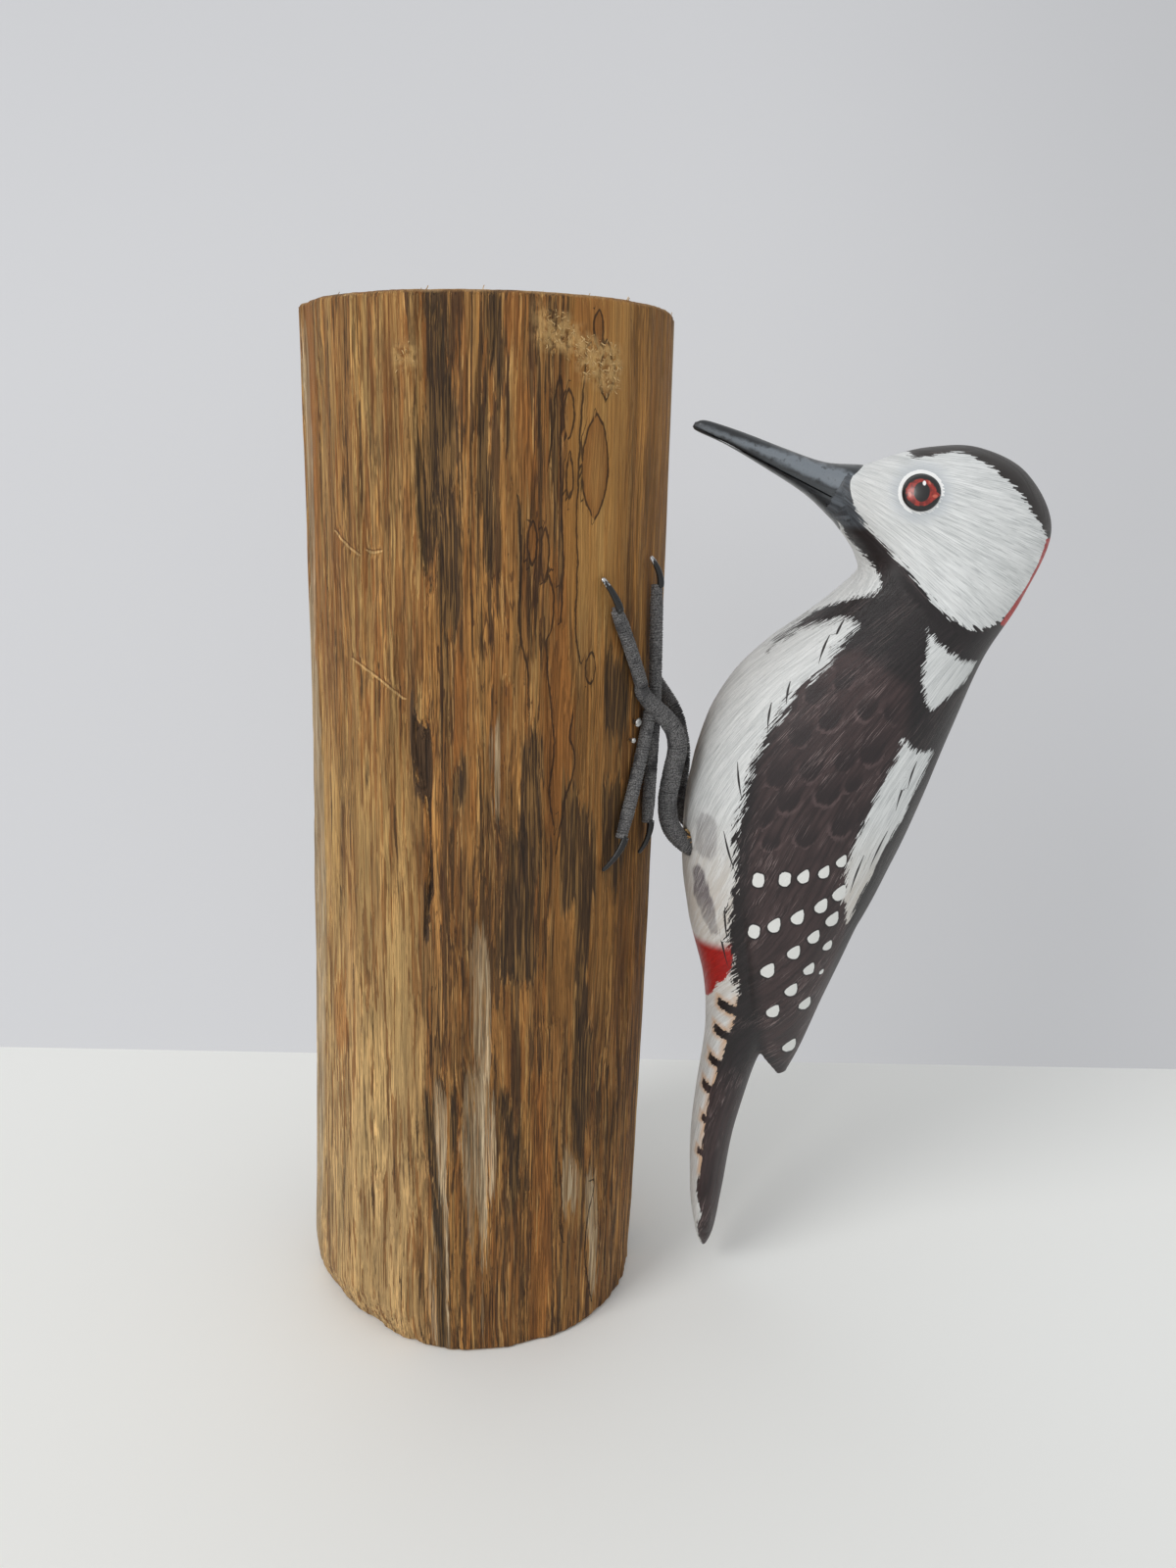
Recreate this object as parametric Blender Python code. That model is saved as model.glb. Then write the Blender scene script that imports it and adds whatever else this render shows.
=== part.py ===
"""A carved and painted great spotted woodpecker, clinging with wire feet to a bark-stripped length of log.

Everything is in metres with +Z up. The world origin is the middle of the log's flat base. The bird is laid
out in its own upright frame, carried by the empty "bird_frame": x runs out from the log, y to the bird's
right, and z up, so that (x, z) is the bird's side view and y = 0 is its plane of symmetry.
"""
import math

import bmesh
import bpy
import numpy as np
from mathutils import Matrix, Vector

MM = 0.001
GAP = 0.3 * MM

# The log.
LOG_HEIGHT = 215.0 * MM
LOG_RADIUS_TOP = 36.7 * MM
LOG_RADIUS_BASE = 37.8 * MM
LOG_LEAN = 4.4 * MM
LOG_LEAN_POWER = 1.75
LOG_SIDES = 48
LOG_RINGS = 7
LOG_EDGE = 1.0 * MM
LOG_LOBES = ((2, 0.35 * MM, 0.6), (3, 0.25 * MM, 2.1), (5, 0.15 * MM, 4.0))
LOG_CHIP_DEPTH = 3.6 * MM
LOG_CHIP_HEIGHT = 10.0 * MM
LOG_CHIP_ANGLE = math.radians(-138)
LOG_CHIP_SPREAD = math.radians(52)

# Where the bird clings: the direction from the log's axis to the bird.
BIRD_AZIMUTH = math.radians(-7.0)

# Side view of the body from bill root to tail tip, in millimetres: the point on the back or crown, the point
# on the throat or belly, and half of the width between them.
BODY = (
    ("bill root", (75.0, 187.3), (69.8, 176.8), 6.2),
    ("lores", (81.0, 189.3), (73.0, 173.0), 9.8),
    ("brow", (88.0, 190.9), (75.2, 169.3), 12.6),
    ("crown", (97.0, 191.0), (75.9, 166.6), 13.9),
    ("rear crown", (106.5, 186.4), (74.0, 164.2), 14.4),
    ("hind head", (112.3, 175.8), (67.5, 158.8), 14.6),
    ("nape", (108.3, 162.6), (58.5, 151.8), 15.6),
    ("hind neck", (102.0, 150.6), (50.8, 143.4), 18.2),
    ("shoulder", (97.0, 135.8), (46.0, 133.0), 20.6),
    ("breast", (92.4, 121.0), (43.2, 119.6), 21.8),
    ("belly", (87.6, 107.2), (42.7, 105.2), 21.0),
    ("flank", (81.0, 91.0), (44.9, 90.4), 18.4),
    ("rump", (71.0, 75.6), (48.4, 77.4), 14.4),
    ("tail root", (62.6, 59.6), (49.6, 63.4), 10.6),
    ("tail", (57.6, 40.0), (47.6, 41.0), 8.8),
    ("tail middle", (55.4, 23.5), (47.8, 23.4), 7.6),
    ("tail end", (53.9, 12.0), (49.4, 11.6), 5.2),
    ("tail tip", (52.2, 6.3), (51.2, 6.3), 1.6),
)
BODY_STEPS = 3
BODY_SIDES = 24
BODY_FULLNESS = 2.2
WINGS_START = 10

# The wings' own back line, which covers the rump as far as the wing tips.
WING_BACK = ((87.6, 107.2), (81.2, 91.0), (75.8, 75.6), (71.4, 61.4), (67.6, 52.0))
WING = (
    ("wrist", (80.0, 150.4), (75.0, 149.8)),
    ("bend", (86.4, 146.0), (66.4, 144.4)),
    ("shoulder", (88.8, 137.0), (60.2, 135.0)),
    ("coverts", (87.0, 122.0), (56.0, 121.0)),
    ("secondaries", (82.5, 106.0), (56.5, 104.0)),
    ("tertials", (78.0, 90.0), (59.0, 89.0)),
    ("primaries", (74.6, 74.0), (61.4, 74.0)),
    ("primary ends", (71.0, 62.6), (62.4, 61.4)),
    ("wing tip", (68.6, 54.2), (66.8, 53.8)),
)
WING_STEPS = 2
WING_ACROSS = 6
WING_THICK = 3.0
WING_EDGE = 2.0
WING_DEPTH = 0.8
WING_PROUD = 0.45
WING_ROOM = 1.2 * GAP

# Planes that part the carved block, each through two points of the side view.
HEAD_CUT = ((75.0, 166.2), (109.5, 163.0))
NECK_CUT = ((56.0, 150.5), (104.6, 154.6))
TAIL_CUT = ((49.4, 66.0), (64.6, 64.6))

# The bill, in the same way as the body, and the line of the gape that parts its two halves.
BILL = (
    ("root", (74.7, 187.4), (69.5, 176.9), 5.8),
    ("nostril", (67.6, 187.8), (64.0, 181.6), 4.4),
    ("middle", (59.6, 190.3), (56.0, 186.4), 3.1),
    ("front", (51.7, 193.1), (48.3, 190.6), 2.1),
    ("chisel", (44.2, 195.3), (42.3, 193.2), 1.2),
    ("point", (41.8, 195.0), (41.3, 194.1), 0.5),
)
BILL_STEPS = 3
BILL_SIDES = 16
GAPE = ((44.0, 193.1), (71.0, 180.3))

EYE_PLACE = (85.2, 182.6)
EYE_RADIUS = 4.1
EYE_DEEP = 1.6
EYE_PROUD = 0.8

# The feet: wire wound with thread. Angles are from the bird's plane round the log's axis, in degrees, and
# heights are in millimetres. Each toe runs from its root to its end, and its claw from there to its tip.
# The right foot grips a few degrees further round the log than the left one.
TOE_RADIUS = 1.4 * MM
LEG_RADIUS = 2.1 * MM
CLAW_RADIUS = 0.8 * MM
TOES = {
    "front_outer": ((24.0, 140.2), (40.2, 160.1), (44.6, 165.7)),
    "front_inner": ((18.2, 140.4), (20.7, 163.8), (23.0, 169.0)),
    "rear_outer": ((24.4, 133.0), (34.5, 114.0), (40.5, 108.2)),
    "rear_inner": ((18.4, 132.8), (19.7, 115.1), (22.1, 108.9)),
}
FOOT_TURN = {"left": 0.0, "right": 6.0}
PINS = {"upper": (27.4, 137.0, 0.9 * MM), "lower": (29.6, 133.6, 0.55 * MM)}
PIN_PROUD = 1.6 * MM

# Leg routes in the bird's frame, from the foot to inside the belly, in millimetres.
LEG_ROUTES = {
    "left": (
        (36.5, -13.6, 136.8), (39.8, -13.0, 135.9), (41.3, -12.0, 131.0), (40.4, -11.0, 125.0),
        (39.6, -10.0, 119.0), (40.2, -9.0, 113.6), (42.6, -8.0, 110.0), (47.0, -7.0, 107.0),
    ),
    "right": (
        (34.6, 17.2, 136.8), (38.4, 15.8, 133.6), (40.2, 14.4, 128.6), (41.1, 13.0, 123.8),
        (41.0, 11.5, 118.6), (40.9, 10.2, 113.6), (43.4, 8.8, 109.6), (48.0, 7.4, 107.0),
    ),
}
SIDES = {"left": -1, "right": 1}


def clear_scene():
    for obj in list(bpy.data.objects):
        bpy.data.objects.remove(obj, do_unlink=True)


def material(name, colour, roughness, metallic=0.0):
    made = bpy.data.materials.new(name)
    made.use_nodes = True
    shader = made.node_tree.nodes["Principled BSDF"]
    shader.inputs["Base Color"].default_value = (*colour, 1.0)
    shader.inputs["Roughness"].default_value = roughness
    shader.inputs["Metallic"].default_value = metallic
    return made


def place(name, data, finish, parent=None):
    """A new object of this mesh or curve, under the bird's frame when one is given."""
    data.materials.append(finish)
    obj = bpy.data.objects.new(name, data)
    bpy.context.scene.collection.objects.link(obj)
    obj.parent = parent
    return obj


def finish_mesh(name, mesh_builder):
    """The bmesh as a mesh that shades smoothly, with sharp edges kept."""
    bmesh.ops.recalc_face_normals(mesh_builder, faces=mesh_builder.faces)
    mesh = bpy.data.meshes.new(name)
    mesh_builder.to_mesh(mesh)
    mesh_builder.free()
    mesh.shade_smooth()
    mesh.set_sharp_from_angle(angle=math.radians(50))
    return mesh


def spline(points, where):
    """A smooth curve through evenly numbered points (Catmull-Rom), read at the position `where` along them."""
    points = np.asarray(points, float)
    last = len(points) - 1
    i = min(int(where), last - 1)
    t = where - i
    before = points[i - 1] if i > 0 else 2 * points[0] - points[1]
    after = points[i + 2] if i + 2 <= last else 2 * points[last] - points[last - 1]
    a, b = points[i], points[i + 1]
    return 0.5 * (2 * a + (b - before) * t + (2 * before - 5 * a + 4 * b - after) * t**2
                  + (3 * a - before - 3 * b + after) * t**3)


def log_axis(z):
    """How far the log's axis has leant along +X at this height."""
    return LOG_LEAN * (1 - (1 - z / LOG_HEIGHT) ** LOG_LEAN_POWER)


def log_radius(angle, z):
    """The log's radius: a slight flare to the foot, a few shallow lobes, and a worn stretch of the base's edge."""
    taper = (1 - z / LOG_HEIGHT) ** 2
    radius = LOG_RADIUS_TOP + (LOG_RADIUS_BASE - LOG_RADIUS_TOP) * taper
    radius += sum(depth * math.cos(count * angle + turn) for count, depth, turn in LOG_LOBES)
    off = math.remainder(angle - LOG_CHIP_ANGLE, 2 * math.pi) / LOG_CHIP_SPREAD
    if abs(off) < 1 and z < LOG_CHIP_HEIGHT:
        radius -= LOG_CHIP_DEPTH * math.cos(off * math.pi / 2) ** 2 * (1 - z / LOG_CHIP_HEIGHT) ** 1.5
    return radius


def make_log(finish):
    builder = bmesh.new()
    heights = [0.0, LOG_EDGE, LOG_CHIP_HEIGHT / 2, LOG_CHIP_HEIGHT]
    heights += [LOG_HEIGHT * i / LOG_RINGS for i in range(1, LOG_RINGS)]
    heights += [LOG_HEIGHT - LOG_EDGE, LOG_HEIGHT]
    rings = []
    for z in heights:
        inset = LOG_EDGE if z in (0.0, LOG_HEIGHT) else 0.0
        ring = []
        for k in range(LOG_SIDES):
            angle = 2 * math.pi * k / LOG_SIDES
            radius = log_radius(angle, z) - inset
            ring.append(builder.verts.new((log_axis(z) + radius * math.cos(angle),
                                           radius * math.sin(angle), z)))
        rings.append(ring)
    for low, high in zip(rings, rings[1:]):
        for k in range(LOG_SIDES):
            n = (k + 1) % LOG_SIDES
            builder.faces.new((low[k], low[n], high[n], high[k]))
    builder.faces.new(rings[0])
    builder.faces.new(rings[-1])
    return place("log", finish_mesh("log", builder), finish)


def loft(stations, steps, sides, fullness):
    """A closed skin through stations of (name, upper point, lower point, half-width), in millimetres."""
    rows = np.array([(*upper, *lower, half) for _, upper, lower, half in stations])
    builder = bmesh.new()
    rings = []
    for i in range((len(rows) - 1) * steps + 1):
        x_top, z_top, x_low, z_low, half = spline(rows, i / steps)
        ring = []
        for k in range(sides):
            angle = 2 * math.pi * k / sides
            up, out = math.cos(angle), math.sin(angle)
            up = math.copysign(abs(up) ** (2 / fullness), up)
            out = math.copysign(abs(out) ** (2 / fullness), out)
            x = (x_top + x_low) / 2 + (x_top - x_low) / 2 * up
            z = (z_top + z_low) / 2 + (z_top - z_low) / 2 * up
            ring.append(builder.verts.new((x * MM, half * out * MM, z * MM)))
        rings.append(ring)
    for one, two in zip(rings, rings[1:]):
        for k in range(sides):
            n = (k + 1) % sides
            builder.faces.new((one[k], one[n], two[n], two[k]))
    builder.faces.new(rings[0])
    builder.faces.new(rings[-1])
    bmesh.ops.recalc_face_normals(builder, faces=builder.faces)
    return builder


def keep_side(builder, line, side, gap=GAP / 2):
    """Cuts away all of the solid on one side of the upright cut through the side-view line, and closes it."""
    (x0, z0), (x1, z1) = line
    across = Vector((z1 - z0, 0, x0 - x1)).normalized() * side
    foot = Vector((x0, 0, z0)) * MM + across * gap
    cut = bmesh.ops.bisect_plane(builder, geom=builder.verts[:] + builder.edges[:] + builder.faces[:],
                                 plane_co=foot, plane_no=across, clear_inner=True)
    rim = [item for item in cut["geom_cut"] if isinstance(item, bmesh.types.BMEdge)]
    bmesh.ops.holes_fill(builder, edges=rim)


def part_body(name, cuts, finish, frame):
    """The stretch of the body on the given side of each (line, side) cut."""
    builder = loft(BODY, BODY_STEPS, BODY_SIDES, BODY_FULLNESS)
    for line, side in cuts:
        keep_side(builder, line, side)
    return place(name, finish_mesh(name, builder), finish, frame)


class SideView:
    """Answers how thick a lofted body is, sideways, at a point of its side view."""

    def __init__(self, stations, fullness, samples=240):
        rows = np.array([(*upper, *lower, half) for _, upper, lower, half in stations])
        places = np.linspace(0, len(rows) - 1, samples)
        self.rows = np.array([spline(rows, where) for where in places])
        self.fullness = fullness

    def half_width(self, x, z):
        """Half of the width at this point, or nothing where the point is outside the body."""
        top, chord = self.rows[:, :2], self.rows[:, 2:4] - self.rows[:, :2]
        reach = np.array((x, z)) - top
        ahead = (chord[:, 0] * reach[:, 1] - chord[:, 1] * reach[:, 0]) / np.linalg.norm(chord, axis=1)
        along = (chord * reach).sum(1) / (chord**2).sum(1)
        between = np.flatnonzero((ahead[:-1] * ahead[1:] <= 0) & (along[:-1] > 0) & (along[:-1] < 1))
        if not len(between):
            return 0.0
        i = int(between[0])
        mix = ahead[i] / (ahead[i] - ahead[i + 1])
        depth = along[i] + (along[i + 1] - along[i]) * mix
        half = self.rows[i, 4] + (self.rows[i + 1, 4] - self.rows[i, 4]) * mix
        middle = min(abs(2 * depth - 1), 1.0)
        return half * (1 - middle**self.fullness) ** (1 / self.fullness)


def mantle_stations():
    """The body with the wings' back line in place of the rump's."""
    stations = list(BODY[:WINGS_START])
    for (name, _, lower, half), upper in zip(BODY[WINGS_START:], WING_BACK):
        stations.append((name, upper, lower, half))
    return stations


def two_triangles(builder, a, b, c, d):
    """A four-sided patch, always split along the same diagonal."""
    builder.faces.new((a, b, c))
    builder.faces.new((a, c, d))


def wing_builder(side, mantle, core):
    """A folded wing as a closed solid that lies in the body's side and stands a little proud of it."""
    rows = np.array([(*back, *front) for _, back, front in WING])
    builder = bmesh.new()
    outer, inner = [], []
    count = (len(rows) - 1) * WING_STEPS
    for i in range(count + 1):
        x_back, z_back, x_front, z_front = spline(rows, i / WING_STEPS)
        outer.append([])
        inner.append([])
        for k in range(WING_ACROSS + 1):
            t = k / WING_ACROSS
            x = x_back + (x_front - x_back) * t
            z = z_back + (z_front - z_back) * t
            skin = max(mantle.half_width(x, z), WING_EDGE) + WING_PROUD
            back = max(min(skin - WING_THICK, core.half_width(x, z) * WING_DEPTH), GAP / MM / 2)
            outer[i].append(builder.verts.new((x * MM, side * skin * MM, z * MM)))
            inner[i].append(builder.verts.new((x * MM, side * back * MM, z * MM)))
    for i in range(count):
        for k in range(WING_ACROSS):
            for shell in (outer, inner):
                two_triangles(builder, shell[i][k], shell[i][k + 1], shell[i + 1][k + 1], shell[i + 1][k])
        for k in (0, WING_ACROSS):
            two_triangles(builder, outer[i][k], outer[i + 1][k], inner[i + 1][k], inner[i][k])
    for i in (0, count):
        for k in range(WING_ACROSS):
            two_triangles(builder, outer[i][k], outer[i][k + 1], inner[i][k + 1], inner[i][k])
    bmesh.ops.recalc_face_normals(builder, faces=builder.faces)
    return builder


def swell(builder, amount):
    """Moves every face of the solid outwards by about this much."""
    builder.normal_update()
    moves = [(vertex, vertex.normal * amount * vertex.calc_shell_factor()) for vertex in builder.verts]
    for vertex, move in moves:
        vertex.co += move
    return builder


def cutter(name, data, parent):
    """A hidden object that other pieces are cut with."""
    obj = bpy.data.objects.new(name, data)
    bpy.context.scene.collection.objects.link(obj)
    obj.parent = parent
    obj.hide_render = True
    obj.display_type = "WIRE"
    return obj


def cut_away(obj, tool):
    boolean = obj.modifiers.new("cut " + tool.name, "BOOLEAN")
    boolean.operation = "DIFFERENCE"
    boolean.solver = "EXACT"
    boolean.object = tool


def on_log(angle, height, lift, word):
    """A point of the bird's frame, lifted off the log's side at this angle from the bird's plane."""
    z = height * MM
    turn = math.radians(angle + FOOT_TURN[word]) * SIDES[word]
    radius = log_radius(BIRD_AZIMUTH + turn, z) + lift
    lean = (log_axis(z) - LOG_LEAN) * math.cos(BIRD_AZIMUTH)
    return Vector((radius * math.cos(turn) + lean, radius * math.sin(turn), z))


def tube_curve(name, points, radius, radii=None, sides=8):
    """A round rod through the points, which are in metres."""
    curve = bpy.data.curves.new(name, "CURVE")
    curve.dimensions = "3D"
    curve.bevel_depth = radius
    curve.bevel_resolution = sides // 2 - 2
    curve.use_fill_caps = True
    path = curve.splines.new("POLY")
    path.points.add(len(points) - 1)
    for i, point in enumerate(points):
        path.points[i].co = (*point, 1.0)
        path.points[i].radius = radii[i] if radii else 1.0
    path.use_smooth = True
    return curve


def tube_mesh(name, points, radius, radii=None, sides=8):
    """The same rod as a closed mesh, for a solid or a cutter."""
    curve = tube_curve(name, points, radius, radii, sides)
    holder = bpy.data.objects.new(name, curve)
    mesh = bpy.data.meshes.new_from_object(holder)
    bpy.data.objects.remove(holder)
    bpy.data.curves.remove(curve)
    builder = bmesh.new()
    builder.from_mesh(mesh)
    bpy.data.meshes.remove(mesh)
    bmesh.ops.remove_doubles(builder, verts=builder.verts, dist=1e-6)
    return finish_mesh(name, builder)


def route(points, steps):
    """Points along the smooth curve through a hand-set route in millimetres."""
    count = (len(points) - 1) * steps
    return [spline(points, i / steps) * MM for i in range(count + 1)]


def make_leg(word, finish, frame, trunk):
    path = route(LEG_ROUTES[word], 3)
    place("leg_" + word, tube_mesh("leg_" + word, path, LEG_RADIUS), finish, frame)
    hole = cutter("leg_hole_" + word, tube_mesh("hole", path[6:] + [2 * path[-1] - path[-3]],
                                                LEG_RADIUS + GAP), frame)
    cut_away(trunk, hole)


def make_foot(word, thread, claw_wire, steel, frame):
    for toe, (root, end, tip) in TOES.items():
        path = []
        for i in range(9):
            t = i / 8
            angle, height = (np.array(root) * (1 - t) + np.array(end) * t)
            path.append(on_log(angle, height, TOE_RADIUS + GAP, word))
        name = f"toe_{word}_{toe}"
        place(name, tube_mesh(name, path, TOE_RADIUS), thread, frame)
        hook = []
        radii = []
        for i in range(7):
            t = i / 6
            angle, height = (np.array(end) * (1 - t) + np.array(tip) * t)
            height += 0.45 * math.copysign(1, end[1] - root[1])
            rise = 1 - (2 * t - 0.4) ** 2 / 2.6
            lift = (CLAW_RADIUS + GAP) * (1 - t) + 0.5 * CLAW_RADIUS * t + GAP * t + 1.5 * MM * rise
            hook.append(on_log(angle, height, lift, word))
            radii.append(1 - 0.45 * t)
        name = f"claw_{word}_{toe}"
        place(name, tube_mesh(name, hook, CLAW_RADIUS, radii, 6), claw_wire, frame)
    for label, (angle, height, radius) in PINS.items():
        name = f"pin_{word}_{label}"
        base = on_log(angle, height, GAP, word)
        outward = on_log(angle, height, PIN_PROUD, word) - base
        path = [base + outward * t for t in (0.0, 0.55, 0.56, 0.85, 1.0)]
        place(name, tube_mesh(name, path, radius, [0.6, 0.6, 1.0, 1.0, 0.55], 8), steel, frame)


def make_eye(word, head, finish, frame, body_view):
    """A shallow glossy lens let into a socket of its own in the head."""
    side = SIDES[word]
    x, z = EYE_PLACE
    step = 1.0
    half = body_view.half_width(x, z)
    slope_x = (body_view.half_width(x + step, z) - body_view.half_width(x - step, z)) / (2 * step)
    slope_z = (body_view.half_width(x, z + step) - body_view.half_width(x, z - step)) / (2 * step)
    outward = Vector((-slope_x, side, -slope_z)).normalized()
    middle = Vector((x, side * half, z)) * MM + outward * (EYE_PROUD - EYE_DEEP) * MM
    turn = outward.to_track_quat("Z", "Y").to_matrix().to_4x4()

    def lens(grow, round_steps, rings):
        builder = bmesh.new()
        bmesh.ops.create_uvsphere(builder, u_segments=round_steps, v_segments=rings, radius=1.0)
        size = Matrix.Diagonal(((EYE_RADIUS + grow) * MM, (EYE_RADIUS + grow) * MM,
                                (EYE_DEEP + grow) * MM, 1.0))
        bmesh.ops.transform(builder, matrix=Matrix.Translation(middle) @ turn @ size, verts=builder.verts)
        return finish_mesh("eye_" + word, builder)

    place("eye_" + word, lens(0.0, 16, 8), finish, frame)
    socket = cutter("eye_socket_" + word, lens(GAP / MM, 16, 8), frame)
    cut_away(head, socket)


def main():
    clear_scene()
    white = material("painted white", (0.78, 0.78, 0.76), 0.42)
    dark = material("painted purple black", (0.045, 0.034, 0.037), 0.4)
    black = material("painted bill black", (0.02, 0.024, 0.03), 0.25)
    eye_paint = material("painted red eye", (0.35, 0.03, 0.02), 0.12)
    thread = material("grey thread", (0.11, 0.11, 0.12), 0.85)
    claw_wire = material("blackened wire", (0.03, 0.03, 0.035), 0.35, 0.6)
    steel = material("bright steel", (0.6, 0.6, 0.58), 0.25, 1.0)
    wood = material("spalted wood", (0.32, 0.19, 0.08), 0.7)

    make_log(wood)
    frame = bpy.data.objects.new("bird_frame", None)
    bpy.context.scene.collection.objects.link(frame)
    frame.location = (LOG_LEAN, 0.0, 0.0)
    frame.rotation_euler = (0.0, 0.0, BIRD_AZIMUTH)

    head = part_body("head", ((HEAD_CUT, -1),), white, frame)
    part_body("neck", ((HEAD_CUT, 1), (NECK_CUT, -1)), dark, frame)
    trunk = part_body("trunk", ((NECK_CUT, 1), (TAIL_CUT, -1)), white, frame)
    tail = part_body("tail", ((TAIL_CUT, 1),), dark, frame)

    for name, side in (("bill_upper", -1), ("bill_lower", 1)):
        builder = loft(BILL, BILL_STEPS, BILL_SIDES, BODY_FULLNESS)
        keep_side(builder, GAPE, side)
        place(name, finish_mesh(name, builder), black, frame)

    core = SideView(BODY, BODY_FULLNESS)
    mantle = SideView(mantle_stations(), BODY_FULLNESS)
    for word, side in SIDES.items():
        name = "wing_" + word
        place(name, finish_mesh(name, wing_builder(side, mantle, core)), dark, frame)
        room = swell(wing_builder(side, mantle, core), WING_ROOM)
        room = cutter("wing_room_" + word, finish_mesh("room", room), frame)
        for piece in (trunk, tail):
            cut_away(piece, room)
        make_eye(word, head, eye_paint, frame, core)
        make_leg(word, thread, frame, trunk)
        make_foot(word, thread, claw_wire, steel, frame)


main()
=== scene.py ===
import functools
import itertools
import math

import bmesh
import bpy
import numpy as np
from mathutils import Matrix, Vector
from mathutils.kdtree import KDTree


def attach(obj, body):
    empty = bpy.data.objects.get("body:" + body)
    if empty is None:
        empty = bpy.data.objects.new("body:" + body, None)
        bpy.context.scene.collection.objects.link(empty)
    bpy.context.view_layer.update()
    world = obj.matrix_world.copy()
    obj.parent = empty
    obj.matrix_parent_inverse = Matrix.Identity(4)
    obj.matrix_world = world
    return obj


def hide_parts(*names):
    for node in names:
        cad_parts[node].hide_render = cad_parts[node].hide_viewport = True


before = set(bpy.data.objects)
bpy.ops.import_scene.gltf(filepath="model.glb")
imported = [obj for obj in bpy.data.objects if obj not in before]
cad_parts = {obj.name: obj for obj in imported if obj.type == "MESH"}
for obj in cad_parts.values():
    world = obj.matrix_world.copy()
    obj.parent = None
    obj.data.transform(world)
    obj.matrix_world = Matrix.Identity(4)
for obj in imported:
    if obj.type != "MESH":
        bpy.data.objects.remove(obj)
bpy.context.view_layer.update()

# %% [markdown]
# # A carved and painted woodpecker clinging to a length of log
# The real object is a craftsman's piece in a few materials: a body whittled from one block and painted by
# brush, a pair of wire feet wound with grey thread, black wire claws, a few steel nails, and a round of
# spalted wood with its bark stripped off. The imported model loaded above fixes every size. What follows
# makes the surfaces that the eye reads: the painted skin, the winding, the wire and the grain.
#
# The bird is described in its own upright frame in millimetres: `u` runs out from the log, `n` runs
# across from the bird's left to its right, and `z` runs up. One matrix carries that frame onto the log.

MM = 0.001
BIRD_TURN = math.radians(-7.0)
BIRD_FOOT = 4.4
BIRD_AXES = np.array(((math.cos(BIRD_TURN), math.sin(BIRD_TURN), 0.0),
                      (-math.sin(BIRD_TURN), math.cos(BIRD_TURN), 0.0), (0.0, 0.0, 1.0)))


def to_world(points):
    """Bird-frame millimetres to metres in the scene."""
    return (np.asarray(points, float) @ BIRD_AXES + (BIRD_FOOT, 0.0, 0.0)) * MM


print("the packed model has", len(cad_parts), "nodes")

# %% [markdown]
# ## Small tools
# A smooth curve through a handful of points, repeatable noise on a lattice, and a distance to an outline
# are all that the shapes and the paint need. Numpy does each one for a hundred thousand points at once,
# which a loop over Blender's vertices could not do in good time.


# %% Curves, steps and noise
def spline(points, where):
    """A smooth curve through evenly numbered points (Catmull-Rom), read at each position in `where`."""
    points = np.asarray(points, float)
    where = np.atleast_1d(np.asarray(where, float))
    last = len(points) - 1
    i = np.clip(where.astype(int), 0, last - 1)
    t = (where - i)[:, None]
    ends = np.vstack([2 * points[0] - points[1], points, 2 * points[-1] - points[-2]])
    before, a, b, after = (ends[i + k] for k in range(4))
    return 0.5 * (2 * a + (b - before) * t + (2 * before - 5 * a + 4 * b - after) * t**2
                  + (3 * a - before - 3 * b + after) * t**3)


def soft_step(low, high, value):
    """0 below `low`, 1 above `high`, and a smooth rise between them."""
    t = np.clip((value - low) / (high - low), 0.0, 1.0)
    return t * t * (3 - 2 * t)


def band(value, low_end, low, high, high_end):
    """1 from `low` to `high`, falling smoothly to 0 at both ends."""
    return soft_step(low_end, low, value) * soft_step(high_end, high, value)


def lattice(places, seed):
    """A repeatable number from 0 to 1 for every whole-number place."""
    x, y, z = places.T
    h = (x * 374761393 + y * 668265263 + z * 1440662683 + seed * 97531) & 0xFFFFFFFF
    h = ((h ^ (h >> 13)) * 1274126177) & 0xFFFFFFFF
    return ((h ^ (h >> 16)) & 0xFFFF) / 65535.0


def noise(points, size, seed=0):
    """Smooth noise from -1 to 1, with lumps of this size: one number, or one for each axis."""
    scaled = np.asarray(points, float) / size
    cell = np.floor(scaled).astype(np.int64)
    part = scaled - cell
    part = part * part * (3 - 2 * part)
    total = np.zeros(len(scaled))
    for corner in itertools.product((0, 1), repeat=3):
        share = np.prod(np.where(np.array(corner, bool), part, 1 - part), axis=1)
        total += share * lattice(cell + corner, seed)
    return 2 * total - 1


print("halfway up a soft step is", soft_step(0.0, 1.0, 0.5))


# %% Outlines drawn on the side view
def piece_distance(points, a, b):
    """How far each point is from the straight piece between `a` and `b`."""
    edge = b - a
    reach = points - a
    share = np.clip(reach @ edge / (edge @ edge), 0, 1)
    return np.linalg.norm(reach - share[:, None] * edge, axis=1)


def outline_distance(points, outline):
    """How far each point of the side view is inside a closed outline; outside counts below zero."""
    outline = np.asarray(outline, float)
    nearest = np.full(len(points), np.inf)
    inside = np.zeros(len(points), bool)
    for a, b in zip(outline, np.roll(outline, -1, axis=0)):
        nearest = np.minimum(nearest, piece_distance(points, a, b))
        spans = (a[1] > points[:, 1]) != (b[1] > points[:, 1])
        if b[1] != a[1]:
            crossing = a[0] + (points[:, 1] - a[1]) / (b[1] - a[1]) * (b[0] - a[0])
            inside ^= spans & (points[:, 0] < crossing)
    return np.where(inside, nearest, -nearest)


def smooth_outline(outline, steps=4):
    """The same outline with its corners eased by a curve."""
    closed = np.vstack([outline[-1:], outline, outline[:2]]).astype(float)
    return spline(closed, np.arange(0, len(outline) * steps) / steps + 1)


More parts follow.
